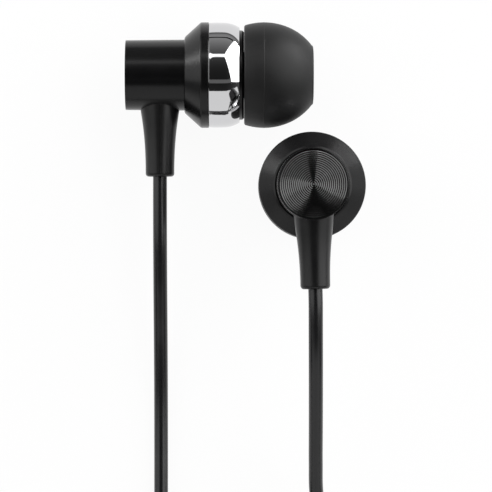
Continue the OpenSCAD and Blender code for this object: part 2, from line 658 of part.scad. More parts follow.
for (side = SIDES) {
    earpiece(side) rear_cap();
    earpiece(side) rear_housing();
    earpiece(side) chrome_ring();
    earpiece(side) front_housing();
    earpiece(side) nozzle_mesh();
    earpiece(side) driver_basket();
    earpiece(side) driver_yoke();
    earpiece(side) driver_magnet();
    earpiece(side) pole_plate();
    earpiece(side) voice_coil();
    earpiece(side) diaphragm();
    earpiece(side) driver_cover();
    earpiece(side) damping_paper();
    earpiece(side) terminal_board();
    earpiece(side) lead_wires();
    earpiece(side) strain_relief();
    earpiece(side) cable_end();
    earpiece(side) ear_tip();
}
cable(left_lead, side_d);  // left_cable_lead
wound_cable(left_coil_path, side_d);  // left_coil
cable(left_tail, side_d);  // left_cable_tail
cable(right_lead, side_d);  // right_cable_lead
wound_cable(right_coil_path, side_d);  // right_coil
cable(right_tail, side_d);  // right_cable_tail
side_strap();
splitter();
cable(main_lead, main_d);  // main_cable_lead
wound_cable(main_coil_path, main_d);  // main_coil
cable(main_tail, main_d);  // main_cable_tail
main_strap();
plug_grip();
plug_sleeve();
plug_insulator_rear();
plug_ring();
plug_insulator_front();
plug_tip();
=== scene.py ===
"""Wired earphones: two metal-ringed earpieces on a coiled cable with a splitter and a plug.

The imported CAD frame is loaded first. Each operator below then builds one group of pieces in
the frame's own place and size, gives them their finish, and hides the CAD nodes that they
stand for. Shapes are worked out in millimetres, and become metres in their mesh. Properties,
finishes and the stage are in metres.
"""

import math

import bmesh
import bpy
import numpy as np
from mathutils import Matrix, Quaternion, Vector


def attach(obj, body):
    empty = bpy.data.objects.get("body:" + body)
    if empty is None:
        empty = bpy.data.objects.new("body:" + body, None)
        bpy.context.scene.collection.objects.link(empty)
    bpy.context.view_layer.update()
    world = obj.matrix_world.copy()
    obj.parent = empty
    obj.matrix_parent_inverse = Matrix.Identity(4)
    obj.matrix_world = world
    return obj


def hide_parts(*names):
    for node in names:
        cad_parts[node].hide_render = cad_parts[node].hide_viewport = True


bl_info = {
    "name": "Wired Earphones",
    "version": (1, 0, 0),
    "blender": (4, 5, 0),
    "location": "View3D > Sidebar > Earphones",
    "description": "Builds a pair of wired earphones with a coiled cable",
    "category": "Add Mesh",
}

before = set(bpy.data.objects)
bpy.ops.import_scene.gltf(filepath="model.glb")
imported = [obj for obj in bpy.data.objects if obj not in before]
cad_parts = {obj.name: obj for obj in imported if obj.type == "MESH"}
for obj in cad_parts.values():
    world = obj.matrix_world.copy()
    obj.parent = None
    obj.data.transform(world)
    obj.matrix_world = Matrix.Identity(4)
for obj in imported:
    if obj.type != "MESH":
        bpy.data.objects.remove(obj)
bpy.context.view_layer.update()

MM = 0.001
SIDES = ("left", "right")
MAIN_BODY = "earphones"

# Where the earpieces lie, in millimetres: the middle of the rear end's face, and the axis's turn.
PLACES = {
    "left": Matrix.Translation((-13.65, 9.09, 6.03)),
    "right": Matrix.Translation((7.62, -3.62, 21.54))
    @ Matrix.Rotation(math.radians(1.3), 4, "Z")
    @ Matrix.Rotation(math.radians(90), 4, "Y"),
}

# Points round each kind of shape, and the longest step along its outline or path in millimetres.
AROUND = {"housing": 144, "ring": 256, "front": 128, "tip": 160, "relief": 120, "fitting": 96, "cable": 36}
STEP = {"housing": 0.16, "ring": 0.12, "tip": 0.14, "fitting": 0.25, "contact": 0.2, "point": 0.15}
STEP |= {"side cable": 0.3, "main cable": 0.4, "strap": 0.4}
COIL_POINTS = 72


# ---------------------------------------------------------------------------- sizes


def size(name, description, millimetres):
    """A length property, given in millimetres and kept in metres."""
    return bpy.props.FloatProperty(
        name=name, description=description, default=millimetres * MM, min=0, unit="LENGTH", precision=5
    )


def colour(name, description, value):
    """A colour property."""
    return bpy.props.FloatVectorProperty(
        name=name, description=description, default=value, size=3, min=0, max=1, subtype="COLOR"
    )


def amount(name, description, value):
    """A plain number with no unit."""
    return bpy.props.FloatProperty(name=name, description=description, default=value, min=0)


class EarpieceSizes(bpy.types.PropertyGroup):
    """Stations run along an earpiece's axis, from its rear end at 0 towards the ear."""

    rear_d: size("Rear Diameter", "Barrel's diameter at its rear end", 7.98)
    barrel_d: size("Barrel Diameter", "Barrel's diameter where the cone starts", 8.1)
    barrel_l: size("Barrel Length", "Length of the straight barrel", 6.6)
    cone_l: size("Cone Length", "Length of the cone in front of the barrel", 2.1)
    rim_d: size("Rim Diameter", "Diameter of the housing's rim", 12.06)
    rim_l: size("Rim Length", "Length of the rim", 0.9)
    lip_w: size("Lip Width", "Width of the barrel's rounded lip round the cap", 0.09)
    cap_d: size("Cap Diameter", "Diameter of the grooved cap", 7.78)
    cap_rise: size("Cap Rise", "Rise of the cap's middle over its edge", 0.12)
    groove_n: bpy.props.IntProperty(name="Grooves", description="Turned grooves in the cap", default=17, min=1)
    groove_depth: size("Groove Depth", "Depth of a turned groove", 0.0161)
    ring_d: size("Ring Diameter", "Outside diameter of the polished ring", 12)
    ring_l: size("Ring Length", "Length of the polished ring", 3.5)
    ring_wall: size("Ring Wall", "Wall of the polished ring", 0.5)
    curl_r: size("Curl Radius", "Radius of the ring's front curl", 3.2)
    curl_l: size("Curl Length", "Length of the ring's front curl", 1.8)
    flange_d: size("Flange Diameter", "Diameter of the black flange in front of the ring", 10.2)
    flange_l: size("Flange Length", "How far the flange stands out of the ring", 0.5)
    neck_d: size("Neck Diameter", "Diameter of the nozzle's neck", 4.9)
    barb_d: size("Barb Diameter", "Diameter of the barb that holds the ear tip", 5.5)
    bore_d: size("Bore Diameter", "Diameter of the sound bore", 3.4)
    nozzle_l: size("Nozzle Length", "Length of the nozzle in front of the flange", 4.6)


class TipSizes(bpy.types.PropertyGroup):
    """The silicone ear tip is an egg shape cut off at both ends, with a sleeve inside."""

    tip_d: size("Tip Diameter", "Diameter of the ear tip at its widest", 12.06)
    half_l: size("Egg Half Length", "Half the length of the whole egg", 6.6)
    belly: size("Widest Place", "Distance from the tip's rear edge to its widest place", 2.25)
    tip_l: size("Tip Length", "Length of the ear tip", 7.9)
    wall: size("Skirt Wall", "Wall of the soft skirt", 0.55)
    sleeve_wall: size("Sleeve Wall", "Wall of the inner sleeve", 0.6)
    mouth_d: size("Mouth Diameter", "Diameter of the opening", 4.4)
    crown: size("Crown Rise", "Rise of the front face from its corner to the mouth", 0.22)
    seam: size("Parting Line", "Height of the mould's parting line", 0.022)


class CableSizes(bpy.types.PropertyGroup):
    """The cables, their coils and what is on them."""

    side_d: size("Side Cable", "Diameter of the two side cables", 1.6)
    main_d: size("Main Cable", "Diameter of the main cable", 2.2)
    relief_top_d: size("Relief Top", "Diameter of the strain relief at the barrel", 4.46)
    relief_end_d: size("Relief End", "Diameter of the strain relief at its end", 3.27)
    relief_x: size("Relief Station", "Distance from the earpiece's rear end to the relief's axis", 4)
    relief_reach: size("Relief Reach", "Distance from the earpiece's axis to the relief's end", 11.6)
    turn_gap: size("Turn Gap", "Gap between neighbouring turns of a coil", 0.03)
    frame_gap: size("Frame Turn Gap", "Gap between the turns of the frame's coils", 0.1)
    side_coil_r: size("Side Coil Radius", "Radius of the outer turn of the frame's side coils", 10.85)
    main_coil_r: size("Main Coil Radius", "Radius of the outer turn of the frame's main coil", 14.15)
    strap_t: size("Strap Thickness", "Thickness of the straps round the coils", 0.4)
    strap_w: size("Strap Width", "Width of the straps", 4)
    splitter_d: size("Splitter Diameter", "Diameter of the splitter", 4.8)
    splitter_l: size("Splitter Length", "Length of the splitter", 14)
    grip_d: size("Grip Diameter", "Diameter of the plug's grip", 6)
    grip_l: size("Grip Length", "Length of the plug's grip", 12.5)
    grip_relief_l: size("Plug Relief", "Length of the plug's strain relief", 7)
    shoulder: size("Shoulder", "Distance from the grip's axis to the pin's shoulder", 4.2)
    pin_d: size("Pin Diameter", "Diameter of the plug's contacts", 3.5)
    pin_l: size("Pin Length", "Length of the pin from its shoulder to its point", 14)


class Finishes(bpy.types.PropertyGroup):
    """Colours of the finishes."""

    housing: colour("Housing", "Moulded housing", (0.0022, 0.0022, 0.0024))
    cap: colour("Cap", "Lacquered cap", (0.115, 0.115, 0.115))
    chrome: colour("Chrome", "Polished ring", (0.64, 0.64, 0.65))
    silicone: colour("Silicone", "Ear tip", (0.0045, 0.0045, 0.0047))
    moulding: colour("Soft Moulding", "Strain reliefs, splitter and grip", (0.004, 0.004, 0.0042))
    jacket: colour("Cable Jacket", "Cable jacket", (0.006, 0.006, 0.0065))
    strap: colour("Strap", "Coil straps", (0.02, 0.02, 0.021))
    gold: colour("Gold Plating", "Plug contacts", (0.83, 0.58, 0.24))
    insulator: colour("Insulator", "Rings between the contacts", (0.012, 0.012, 0.012))
    steel: colour("Steel", "Yoke, pole plate and cover", (0.42, 0.42, 0.43))
    mesh: colour("Mesh", "Nozzle mesh", (0.36, 0.36, 0.37))
    magnet: colour("Magnet", "Nickel-plated magnet", (0.55, 0.54, 0.52))
    basket: colour("Basket", "Driver basket", (0.09, 0.09, 0.095))
    copper: colour("Copper", "Voice coil winding", (0.62, 0.27, 0.13))
    film: colour("Film", "Diaphragm", (0.62, 0.48, 0.26))
    paper: colour("Paper", "Damping paper", (0.72, 0.68, 0.58))
    board: colour("Board", "Terminal board", (0.03, 0.13, 0.06))
    wire: colour("Wire", "Lacquered lead wires", (0.36, 0.03, 0.02))


class StageSettings(bpy.types.PropertyGroup):
    """The camera, the lamps and the floor."""

    camera_height: size("Camera Height", "Height of the camera over the floor", 400)
    aim: bpy.props.FloatVectorProperty(
        name="Aim", description="Point on the floor in the middle of the view", default=(0.00018, -0.01044), size=2
    )
    lens: amount("Lens", "Focal length in millimetres", 252.2)
    lamp_distance: size("Lamp Distance", "Distance from the object to the lamps", 600)
    key: amount("Key Light", "Brightness of the right softbox", 2.6)
    fill: amount("Fill Light", "Brightness of the left softbox", 1.4)
    front: amount("Front Panel", "Brightness of the panel on the cables' side", 0.9)
    card: amount("Card", "Brightness of the faint card overhead", 0.13)
    strip: amount("Strip Light", "Brightness of the narrow strip behind", 1.5)
    edge: amount("Edge Lights", "Brightness of the two low lights behind", 13)
    horizon: amount("Horizon", "Brightness of the room at eye level", 0.34)
    zenith: amount("Zenith", "Brightness of the room overhead", 0.03)


class Earphones(bpy.types.PropertyGroup):
    """All that a user may change."""

    earpiece: bpy.props.PointerProperty(type=EarpieceSizes)
    tip: bpy.props.PointerProperty(type=TipSizes)
    cable: bpy.props.PointerProperty(type=CableSizes)
    finish: bpy.props.PointerProperty(type=Finishes)
    stage: bpy.props.PointerProperty(type=StageSettings)


def settings():
    return bpy.context.scene.earphones


class InMillimetres:
    """Reads the lengths of a group of settings in millimetres."""

    def __init__(self, group):
        self.group = group

    def __getattr__(self, name):
        return getattr(self.group, name) / MM


# ------------------------------------------------------------------------- outlines


def arc(centre, radius, start, end, n=8):
    """Points at equal angles on a circle's arc: centre plus radius times (cos, sin)."""
    a = np.radians(np.linspace(start, end, n + 1))
    return np.asarray(centre) + radius * np.stack([np.cos(a), np.sin(a)], 1)


def round_box(half_w, half_h, corner, n):
    """A closed outline of a box about the origin, whose corners are quarter circles."""
    x, y = half_w - corner, half_h - corner
    middles = [(x, y), (-x, y), (-x, -y), (x, -y)]
    return np.concatenate([arc(m, corner, 90 * i, 90 * i + 90, n) for i, m in enumerate(middles)])


def rounded(corners, n=5):
    """An open outline through corners of (radius, station, fillet), with each fillet an arc.

    The arc touches both runs at fillet / tan(half the corner's angle) from the corner. A corner
    given as two numbers has no fillet.
    """
    corners = [np.array([*c, 0][:3], float) for c in corners]
    out = [corners[0][None, :2]]
    for before, here, after in zip(corners, corners[1:], corners[2:]):
        p, fillet = here[:2], here[2]
        u, v = before[:2] - p, after[:2] - p
        run = 0.49 * min(np.hypot(*u), np.hypot(*v))
        u, v = u / np.hypot(*u), v / np.hypot(*v)
        half = math.acos(np.clip(u @ v, -1, 1)) / 2
        if fillet <= 0 or math.pi / 2 - half < 0.01:
            out.append(p[None])
            continue
        reach = min(fillet / math.tan(half), run)
        t = np.linspace(-1, 1, n + 1)[:, None] * (math.pi / 2 - half)
        bisector = (u + v) / np.hypot(*(u + v))
        across = (v - u) / np.hypot(*(v - u))
        r = reach * math.tan(half)
        out.append(p + bisector * r / math.sin(half) + r * (across * np.sin(t) - bisector * np.cos(t)))
    out.append(corners[-1][None, :2])
    return np.concatenate(out)


def fine(points, step):
    """The outline with each run split into equal steps no longer than step."""
    points = np.asarray(points, float)
    runs = np.hypot(*np.diff(points, axis=0).T)
    points = points[np.concatenate([[True], runs > 1e-6])]
    n = np.maximum(1, np.ceil(np.hypot(*np.diff(points, axis=0).T) / step)).astype(int)
    at = np.concatenate([[0], np.cumsum(n)])
    t = np.arange(at[-1] + 1)
    return np.stack([np.interp(t, at, points[:, 0]), np.interp(t, at, points[:, 1])], 1)


def ribbed(radius, station, depth, n):
    """An outline along the stations, with n round cuts of the given depth spaced evenly.

    A cut is a raised cosine, made 2.2 times as steep and clipped to run from 0 to 1.
    """
    turn = (station - station[0]) / (station[-1] - station[0]) * n
    cut = 0.5 - 0.5 * np.cos(2 * math.pi * turn)
    return np.column_stack([radius - depth * np.clip(cut * 2.2 - 0.6, 0, 1), station])


# ------------------------------------------------------------------------- surfaces


def turned(outline, around):
    """A surface of revolution about the X axis, as a grid.

    Point (i, j) is (station i, radius i times cos a, radius i times sin a), where a is j
    equal parts of a full turn.
    """
    radius, station = np.asarray(outline).T
    a = np.arange(around) * 2 * math.pi / around
    return np.stack([station[:, None] + 0 * a, radius[:, None] * np.cos(a), radius[:, None] * np.sin(a)], -1)


def swept(path, radius, around):
    """A round tube along a path that is never upright, as a grid with its ends closed.

    The ring at a point is radius times (cos a times the side + sin a times the up vector),
    where side is the heading crossed with Z, and up is side crossed with the heading.
    """
    heading = np.gradient(path, axis=0)
    heading /= np.linalg.norm(heading, axis=1, keepdims=True)
    side = np.cross(heading, [0, 0, 1])
    side /= np.linalg.norm(side, axis=1, keepdims=True)
    up = np.cross(side, heading)
    a = (np.arange(around) * 2 * math.pi / around)[None, :, None]
    rings = path[:, None] + radius * (np.cos(a) * side[:, None] + np.sin(a) * up[:, None])
    ends = np.repeat(path[[0, -1], None], around, axis=1)
    return np.concatenate([ends[:1], rings, ends[1:]])


def faces_of(rows, cols, ring):
    """Quads of a grid that closes on itself across its columns, and across its rows if ring."""
    i = np.arange(rows if ring else rows - 1)[:, None]
    j = np.arange(cols)[None]
    k, m = (i + 1) % rows, (j + 1) % cols
    return np.stack([i * cols + j, k * cols + j, k * cols + m, i * cols + m], -1).reshape(-1, 4)


def along_tube(grid):
    """UVs of a grid: U goes once round, and V is the length along it in turns round it."""
    rows, cols = grid.shape[:2]
    middle = grid.mean(1)
    v = np.concatenate([[0], np.cumsum(np.linalg.norm(np.diff(middle, axis=0), axis=1))])
    v /= 2 * math.pi * np.linalg.norm(grid[rows // 2, 0] - middle[rows // 2])
    i, j = np.arange(rows - 1)[:, None], np.arange(cols)[None]
    u = np.stack([j + 0 * i, j + 0 * i, j + 1 + 0 * i, j + 1 + 0 * i], -1) / cols
    return np.stack([u, np.stack([v[i + 0 * j], v[i + 1 + 0 * j], v[i + 1 + 0 * j], v[i + 0 * j]], -1)], -1)


def piece(name, grid, place=Matrix(), crease=35, ring=True, tube_uv=False):
    """A mesh object of a closed grid in millimetres, with its place in its mesh.

    Poles and seams are merged, faces turned outward, and edges sharper than crease kept.
    """
    turn = np.array(place)
    points = (grid.reshape(-1, 3) @ turn[:3, :3].T + turn[:3, 3]) * MM
    mesh = bpy.data.meshes.new(name)
    mesh.from_pydata(points, [], faces_of(*grid.shape[:2], ring))
    if tube_uv:
        mesh.uv_layers.new(name="along").data.foreach_set("uv", along_tube(grid).ravel())
    shape = bmesh.new()
    shape.from_mesh(mesh)
    bmesh.ops.remove_doubles(shape, verts=shape.verts, dist=1e-7)
    bmesh.ops.dissolve_degenerate(shape, dist=1e-8, edges=shape.edges)
    bmesh.ops.recalc_face_normals(shape, faces=shape.faces)
    shape.to_mesh(mesh)
    shape.free()
    mesh.shade_smooth()
    mesh.set_sharp_from_angle(angle=math.radians(crease))
    thing = bpy.data.objects.new(name, mesh)
    bpy.context.scene.collection.objects.link(thing)
    return thing


def settle(thing, finish, stands_for, body=MAIN_BODY):
    """Gives a piece its finish in its one material slot, sets it on its body and hides what it stands for."""
    thing.data.materials.clear()
    thing.data.materials.append(finish)
    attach(thing, body)
    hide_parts(*stands_for)
    return thing


def pair(name, grid, finish, slot, node, body=None, **shape):
    """The same piece on both earpieces. A finish is one for both, or a dictionary by side."""
    for side in SIDES:
        own = finish[side] if isinstance(finish, dict) else finish
        thing = piece(f"{side}_{name}", grid, PLACES[side], **shape)
        settle(thing, own, [f"{side}_{node}"], f"{side}_{body}" if body else MAIN_BODY)


# ------------------------------------------------------------------- shader helpers


class Wire:
    """An output of a shader node. Sums and the like of wires and numbers add Math nodes."""

    def __init__(self, sheet, socket):
        self.sheet, self.socket = sheet, socket

    def math(self, operation, *values):
        return self.sheet.node("Math", {"operation": operation}, dict(enumerate(values)))

    def __add__(self, other):
        return self.math("ADD", self, other)

    def __sub__(self, other):
        return self.math("SUBTRACT", self, other)

    def __rsub__(self, other):
        return self.math("SUBTRACT", other, self)

    def __mul__(self, other):
        return self.math("MULTIPLY", self, other)

    def __pow__(self, other):
        return self.math("POWER", self, other)

    def abs(self):
        return self.math("ABSOLUTE", self)

    def sine(self):
        return self.math("SINE", self)

    __radd__, __rmul__ = __add__, __mul__


class Sheet:
    """A material's or world's node tree, in which one method makes every node."""

    def __init__(self, owner):
        owner.use_nodes = True
        self.owner, self.tree = owner, owner.node_tree
        self.tree.nodes.clear()

    def node(self, kind, settings=None, inputs=None, output=0):
        """Adds a node: its type, its settings, and the values or wires of its sockets."""
        made = self.tree.nodes.new("ShaderNode" + kind)
        for name, value in (settings or {}).items():
            if name == "stops":
                ramp = made.color_ramp
                while len(ramp.elements) < len(value):
                    ramp.elements.new(1)
                for element, (at, shade) in zip(ramp.elements, value):
                    element.position, element.color = at, shade
            else:
                setattr(made, name, value)
        for name, value in (inputs or {}).items():
            if isinstance(value, Wire):
                self.tree.links.new(value.socket, made.inputs[name])
            else:
                made.inputs[name].default_value = value
        return Wire(self, made.outputs[output]) if made.outputs else None

    def place(self):
        """The object's own coordinates, in metres."""
        return self.node("TexCoord", output=3)

    def noise(self, where, grain, detail=3, roughness=0.5):
        """Soft noise from 0 to 1 whose blobs are grain metres across."""
        return self.node(
            "TexNoise", None, {"Vector": where, "Scale": 1 / grain, "Detail": detail, "Roughness": roughness}
        )

    def shade(self, factor, rgb, low, high):
        """A colour from low to high times as bright, by a Mix node."""
        return self.node("Mix", {"data_type": "RGBA"}, {0: factor, 6: rgba(rgb, low), 7: rgba(rgb, high)}, 2)

    def bump(self, height, distance):
        """A normal bent by a height from 0 to 1 that stands for a distance in metres."""
        return self.node("Bump", None, {"Height": height, "Distance": distance})

    def split(self, vector):
        """The three numbers of a vector."""
        first = self.node("SeparateXYZ", None, {0: vector})
        return [Wire(self, s) for s in first.socket.node.outputs]

    def surface(self, **inputs):
        """Joins a principled shader to the output, and gives back the finished material."""
        return self.out(self.node("BsdfPrincipled", None, {k.replace("_", " "): v for k, v in inputs.items()}))

    def out(self, shader, kind="OutputMaterial"):
        self.node(kind, None, {"Surface": shader})
        return self.owner


def rgba(rgb, k=1.0):
    """A colour with its alpha, scaled by k."""
    return (*(min(1.0, c * k) for c in rgb), 1.0)


def material_sheet(name):
    """The empty sheet of a material."""
    return Sheet(bpy.data.materials.get(name) or bpy.data.materials.new(name))


# ------------------------------------------------------------------------- finishes


def moulded(name, rgb, roughness, shine):
    """A moulded plastic: fine spark texture, and gloss that varies in soft patches."""
    s = material_sheet(name)
    where = s.place()
    patches = s.noise(where, 2.2 * MM, 4, 0.6)
    spark = s.noise(where, 0.05 * MM, 2, 0.6)
    return s.surface(
        Base_Color=s.shade(patches, rgb, 0.85, 1.2),
        Roughness=roughness + (patches - 0.5) * 0.1 + (spark - 0.5) * 0.04,
        Specular_IOR_Level=shine,
        Normal=s.bump(spark, 0.35e-6),
    )


def lacquered_turned(name, rgb, centre, axis, pitch):
    """Lacquer over turned metal: fine rings of tool marks about an axis through centre."""
    s = material_sheet(name)
    where = s.node("VectorMath", {"operation": "SUBTRACT"}, {0: s.place(), 1: tuple(centre)})
    across = s.node("VectorMath", {"operation": "CROSS_PRODUCT"}, {0: where, 1: tuple(axis)})
    radius = s.node("VectorMath", {"operation": "LENGTH"}, {0: across}, output=1)
    rings = s.node("TexNoise", {"noise_dimensions": "1D"}, {"W": radius, "Scale": 1 / pitch, "Detail": 2})
    patches = s.noise(where, 1.5 * MM, 3)
    return s.surface(
        Base_Color=s.shade(patches, rgb, 0.8, 1.25),
        Metallic=1.0,
        Roughness=0.11 + (rings - 0.5) * 0.06 + (patches - 0.5) * 0.04,
        Normal=s.bump(rings, 0.5e-6),
    )


def metal(name, rgb, roughness, grain=0.3 * MM, stretch=(1, 1, 1), depth=0.4e-6, tint=0.06):
    """A bare or plated metal: hairlines drawn out by stretch, and slightly uneven polish."""
    s = material_sheet(name)
    where = s.node("Mapping", None, {"Vector": s.place(), "Scale": stretch})
    lines = s.noise(where, grain, 4, 0.65)
    cloud = s.noise(s.place(), 3 * MM, 3)
    return s.surface(
        Base_Color=s.shade(cloud, rgb, 1 - tint, 1 + tint),
        Metallic=1.0,
        Roughness=roughness * (0.8 + 0.4 * lines),
        Normal=s.bump(lines, depth),
    )


def soft_rubber(name, rgb, roughness):
    """Matt silicone: a fine skin, a little dust in its tone, and a soft bloom at the edges."""
    s = material_sheet(name)
    where = s.place()
    skin = s.noise(where, 0.09 * MM, 3, 0.6)
    cloud = s.noise(where, 1.6 * MM, 4, 0.55)
    return s.surface(
        Base_Color=s.shade(cloud, rgb, 0.88, 1.14),
        Roughness=roughness + (cloud - 0.5) * 0.08 + (skin - 0.5) * 0.08,
        Specular_IOR_Level=0.3,
        Sheen_Weight=0.02,
        Sheen_Roughness=0.4,
        Normal=s.bump(skin, 1.4e-6),
    )


def cable_jacket(name, rgb):
    """Extruded jacket: fine die lines along the cable, on its own UVs, and soft gloss."""
    s = material_sheet(name)
    u, v, _ = s.split(s.node("UVMap", {"uv_map": "along"}))
    lines = s.noise(s.node("CombineXYZ", None, {0: u * 6.0, 1: v * 0.05}), 0.16, 3, 0.6)
    waves = s.noise(s.node("CombineXYZ", None, {0: u, 1: v}), 0.7, 3)
    return s.surface(
        Base_Color=s.shade(waves, rgb, 0.8, 1.25),
        Roughness=0.26 + (lines - 0.5) * 0.08 + (waves - 0.5) * 0.06,
        Specular_IOR_Level=0.42,
        Normal=s.bump(lines, 0.8e-6),
    )


def winding(name, rgb, pitch):
    """Enamelled winding: fine round turns of wire about an earpiece's axis."""
    s = material_sheet(name)
    x, _, z = s.split(s.place())
    turns = ((x + z) * (2 * math.pi / pitch)).sine() * 0.5 + 0.5
    return s.surface(
        Base_Color=s.shade(turns, rgb, 0.7, 1.1),
        Metallic=0.9,
        Roughness=0.3 + turns * 0.1,
        Normal=s.bump(turns, 0.01 * MM),
    )


def porous(name, rgb, grain, roughness=0.9):
    """Paper or film: cloudy fibres and a dull or shiny surface."""
    s = material_sheet(name)
    fibres = s.noise(s.place(), grain, 5, 0.7)
    return s.surface(
        Base_Color=s.shade(fibres, rgb, 0.75, 1.15),
        Roughness=roughness + (fibres - 0.5) * 0.15,
        Normal=s.bump(fibres, 0.01 * MM),
    )


# ---------------------------------------------------------------------------- stage


class EARPHONES_OT_stage(bpy.types.Operator):
    """Sets up the floor, the room, the lamps and the camera"""

    bl_idname = "earphones.stage"
    bl_label = "Stage"

    def execute(self, context):
        s = settings().stage
        context.scene.view_settings.view_transform = "Standard"
        self.camera(context, s)
        self.floor()
        self.room(context, s)
        self.lamps(s)
        return {"FINISHED"}

    def camera(self, context, s):
        """Straight down on the earpieces, with the cables leaving downwards in the view."""
        lens = bpy.data.cameras.new("camera")
        lens.sensor_width, lens.lens = 36, s.lens
        lens.clip_start, lens.clip_end = 0.01, 10
        view = bpy.data.objects.new("camera", lens)
        view.location = (*s.aim, s.camera_height)
        context.scene.collection.objects.link(view)
        context.scene.camera = view

    def floor(self):
        """A white floor with a faint shadow, plain white to the camera. In reflections it glows in a painted
        pattern, white close to the object and dim further off.
        """
        half = 4.0
        corners = np.array([(-half, -half), (half, -half), (half, half), (-half, half)])
        mesh = bpy.data.meshes.new("floor")
        mesh.from_pydata(np.column_stack([corners, np.full(4, -0.02 * MM)]), [], [(0, 1, 2, 3)])
        plane = bpy.data.objects.new("floor", mesh)
        bpy.context.scene.collection.objects.link(plane)
        sheet = material_sheet("white floor")
        rays = sheet.node("LightPath").socket.node.outputs
        east, north, _ = sheet.split(sheet.place())
        # Painted reflection: to glossy rays the floor glows white from 0.1 m in front of the object to 0.047 m
        # behind it, with a dark band just behind that and dim floor further off, fading 0.08 to 0.2 m to either
        # side.
        shades = [(0.0, 0.1), (0.2, 0.15), (0.3, 1.0), (0.593, 1.0)]
        shades += [(0.601, 0.06), (0.63, 0.07), (0.64, 0.2), (1.0, 0.28)]
        stops = [(at, rgba((shade,) * 3)) for at, shade in shades]
        painted_reflection = sheet.node("ValToRGB", {"stops": stops}, {0: north * 2 + 0.5})
        painted_reflection = painted_reflection * (1 - sheet.node("MapRange", None, {0: east.abs(), 1: 0.08, 2: 0.2}))
        mirrored = Wire(sheet, rays["Is Glossy Ray"])
        seen = mirrored + Wire(sheet, rays["Is Camera Ray"]) + Wire(sheet, rays["Is Transmission Ray"])
        paper = sheet.node("BsdfDiffuse", None, {"Color": (0.9, 0.9, 0.9, 1)})
        # The floor's glow is plain white to the camera, and the painted reflection pattern to glossy rays.
        white = sheet.node("Emission", None, {"Color": 1 - mirrored * (1 - painted_reflection), "Strength": 1.0})
        mesh.materials.append(sheet.out(sheet.node("MixShader", None, {0: seen * 0.93, 1: paper, 2: white})))

    def room(self, context, s):
        """A plain room, dark overhead and lighter at eye level."""
        context.scene.world = bpy.data.worlds.new("room")
        sheet = Sheet(context.scene.world)
        _, north, up = sheet.split(sheet.node("TexCoord"))
        wall = (1 - up.abs()) ** 1.2 * (s.horizon - s.zenith) + s.zenith
        skirting = sheet.node("MapRange", {"interpolation_type": "SMOOTHSTEP"}, {0: up, 1: 0.03, 2: 0.07})
        level = wall * (north * 0.45 + 0.55) * skirting
        sheet.out(sheet.node("Background", None, {"Color": (1, 1, 1, 1), "Strength": level}), "OutputWorld")

    def lamps(self, s):
        """Soft panels round the object; a compass angle of 0 is +X and 90 is +Y."""
        panels = [
            # name, compass, from overhead, roll, width and height as angles, brightness
            ("key softbox", 28.3, 60.5, -4.0, 74, 74, s.key),
            ("fill softbox", 151.7, 60.5, 4.0, 74, 74, s.fill),
            ("front panel", 270, 62.5, 0, 110, 51, s.front),
            ("card", 270, 15.5, 0, 60, 8, s.card),
            ("strip", 90, 41, 0, 22, 7, s.strip),
            ("right edge light", 43, 85, 0, 34, 9, s.edge),
            ("left edge light", 151, 85, 0, 20, 9, s.edge * 0.9),
        ]
        for name, compass, tilt, roll, wide, high, level in panels:
            a, t = math.radians(compass), math.radians(tilt)
            way = Vector((math.sin(t) * math.cos(a), math.sin(t) * math.sin(a), math.cos(t)))
            lamp = bpy.data.lights.new(name, "AREA")
            lamp.shape = "RECTANGLE"
            lamp.size = 2 * s.lamp_distance * math.tan(math.radians(wide / 2))
            lamp.size_y = 2 * s.lamp_distance * math.tan(math.radians(high / 2))
            lamp.energy = level * math.pi * lamp.size * lamp.size_y
            holder = bpy.data.objects.new(name, lamp)
            holder.location = way * s.lamp_distance
            holder.rotation_mode = "QUATERNION"
            holder.rotation_quaternion = way.to_track_quat("Z", "Y") @ Quaternion((0, 0, 1), math.radians(roll))
            holder.visible_camera = False
            bpy.context.scene.collection.objects.link(holder)


# ----------------------------------------------------------------------- earpieces


def earpiece():
    """An earpiece's sizes, and its stations: the rim's, ring's, flange's and nozzle's ends."""
    s = InMillimetres(settings().earpiece)
    rim_x = s.barrel_l + s.cone_l
    ring_x = rim_x + s.rim_l
    ring_end = ring_x + s.ring_l
    flange_x = ring_end + s.flange_l
    return s, rim_x, ring_x, ring_end, flange_x, flange_x + s.nozzle_l


class EARPHONES_OT_housings(bpy.types.Operator):
    """Builds the black rear housings, with their barrel, cone and rim"""

    bl_idname = "earphones.housings"
    bl_label = "Rear Housings"

    def execute(self, context):
        s, rim_x, ring_x, _, _, _ = earpiece()
        rear_r, barrel_r, rim_r = s.rear_d / 2, s.barrel_d / 2, s.rim_d / 2
        seat_r, seat_x = rear_r - s.lip_w, 0.7
        inside, cavity_x = barrel_r - 0.8, 1.9
        # A narrow shelf stands where the cone starts, a little behind the barrel's foot.
        outline = rounded([
            (0, seat_x), (seat_r, seat_x), (seat_r, 0.1, 0.03), (rear_r - 0.01, 0.08, 0.16), (rear_r, 0.6),
            (barrel_r, s.barrel_l + 0.3, 0.02), (barrel_r + 0.14, s.barrel_l + 0.2, 0.04),
            (barrel_r + 0.36, s.barrel_l + 0.31, 0.02), (rim_r - 0.05, rim_x - 0.05, 0.12),
            (rim_r, rim_x + 0.08, 0.12), (rim_r, ring_x - 0.03, 0.05), (rim_r - 0.32, ring_x - 0.03, 0.02),
            (rim_r - 0.32, ring_x + 0.02), (5.1, ring_x + 0.02), (4.6, rim_x, 0.2), (inside, s.barrel_l, 0.2),
            (inside, cavity_x, 0.1), (0, cavity_x),
        ])
        finish = moulded("housing plastic", settings().finish.housing, 0.25, 0.29)
        grid = turned(fine(outline, STEP["housing"]), AROUND["housing"])
        pair("housing", grid, finish, "housing_plastic", "rear_housing", ring=False)
        return {"FINISHED"}


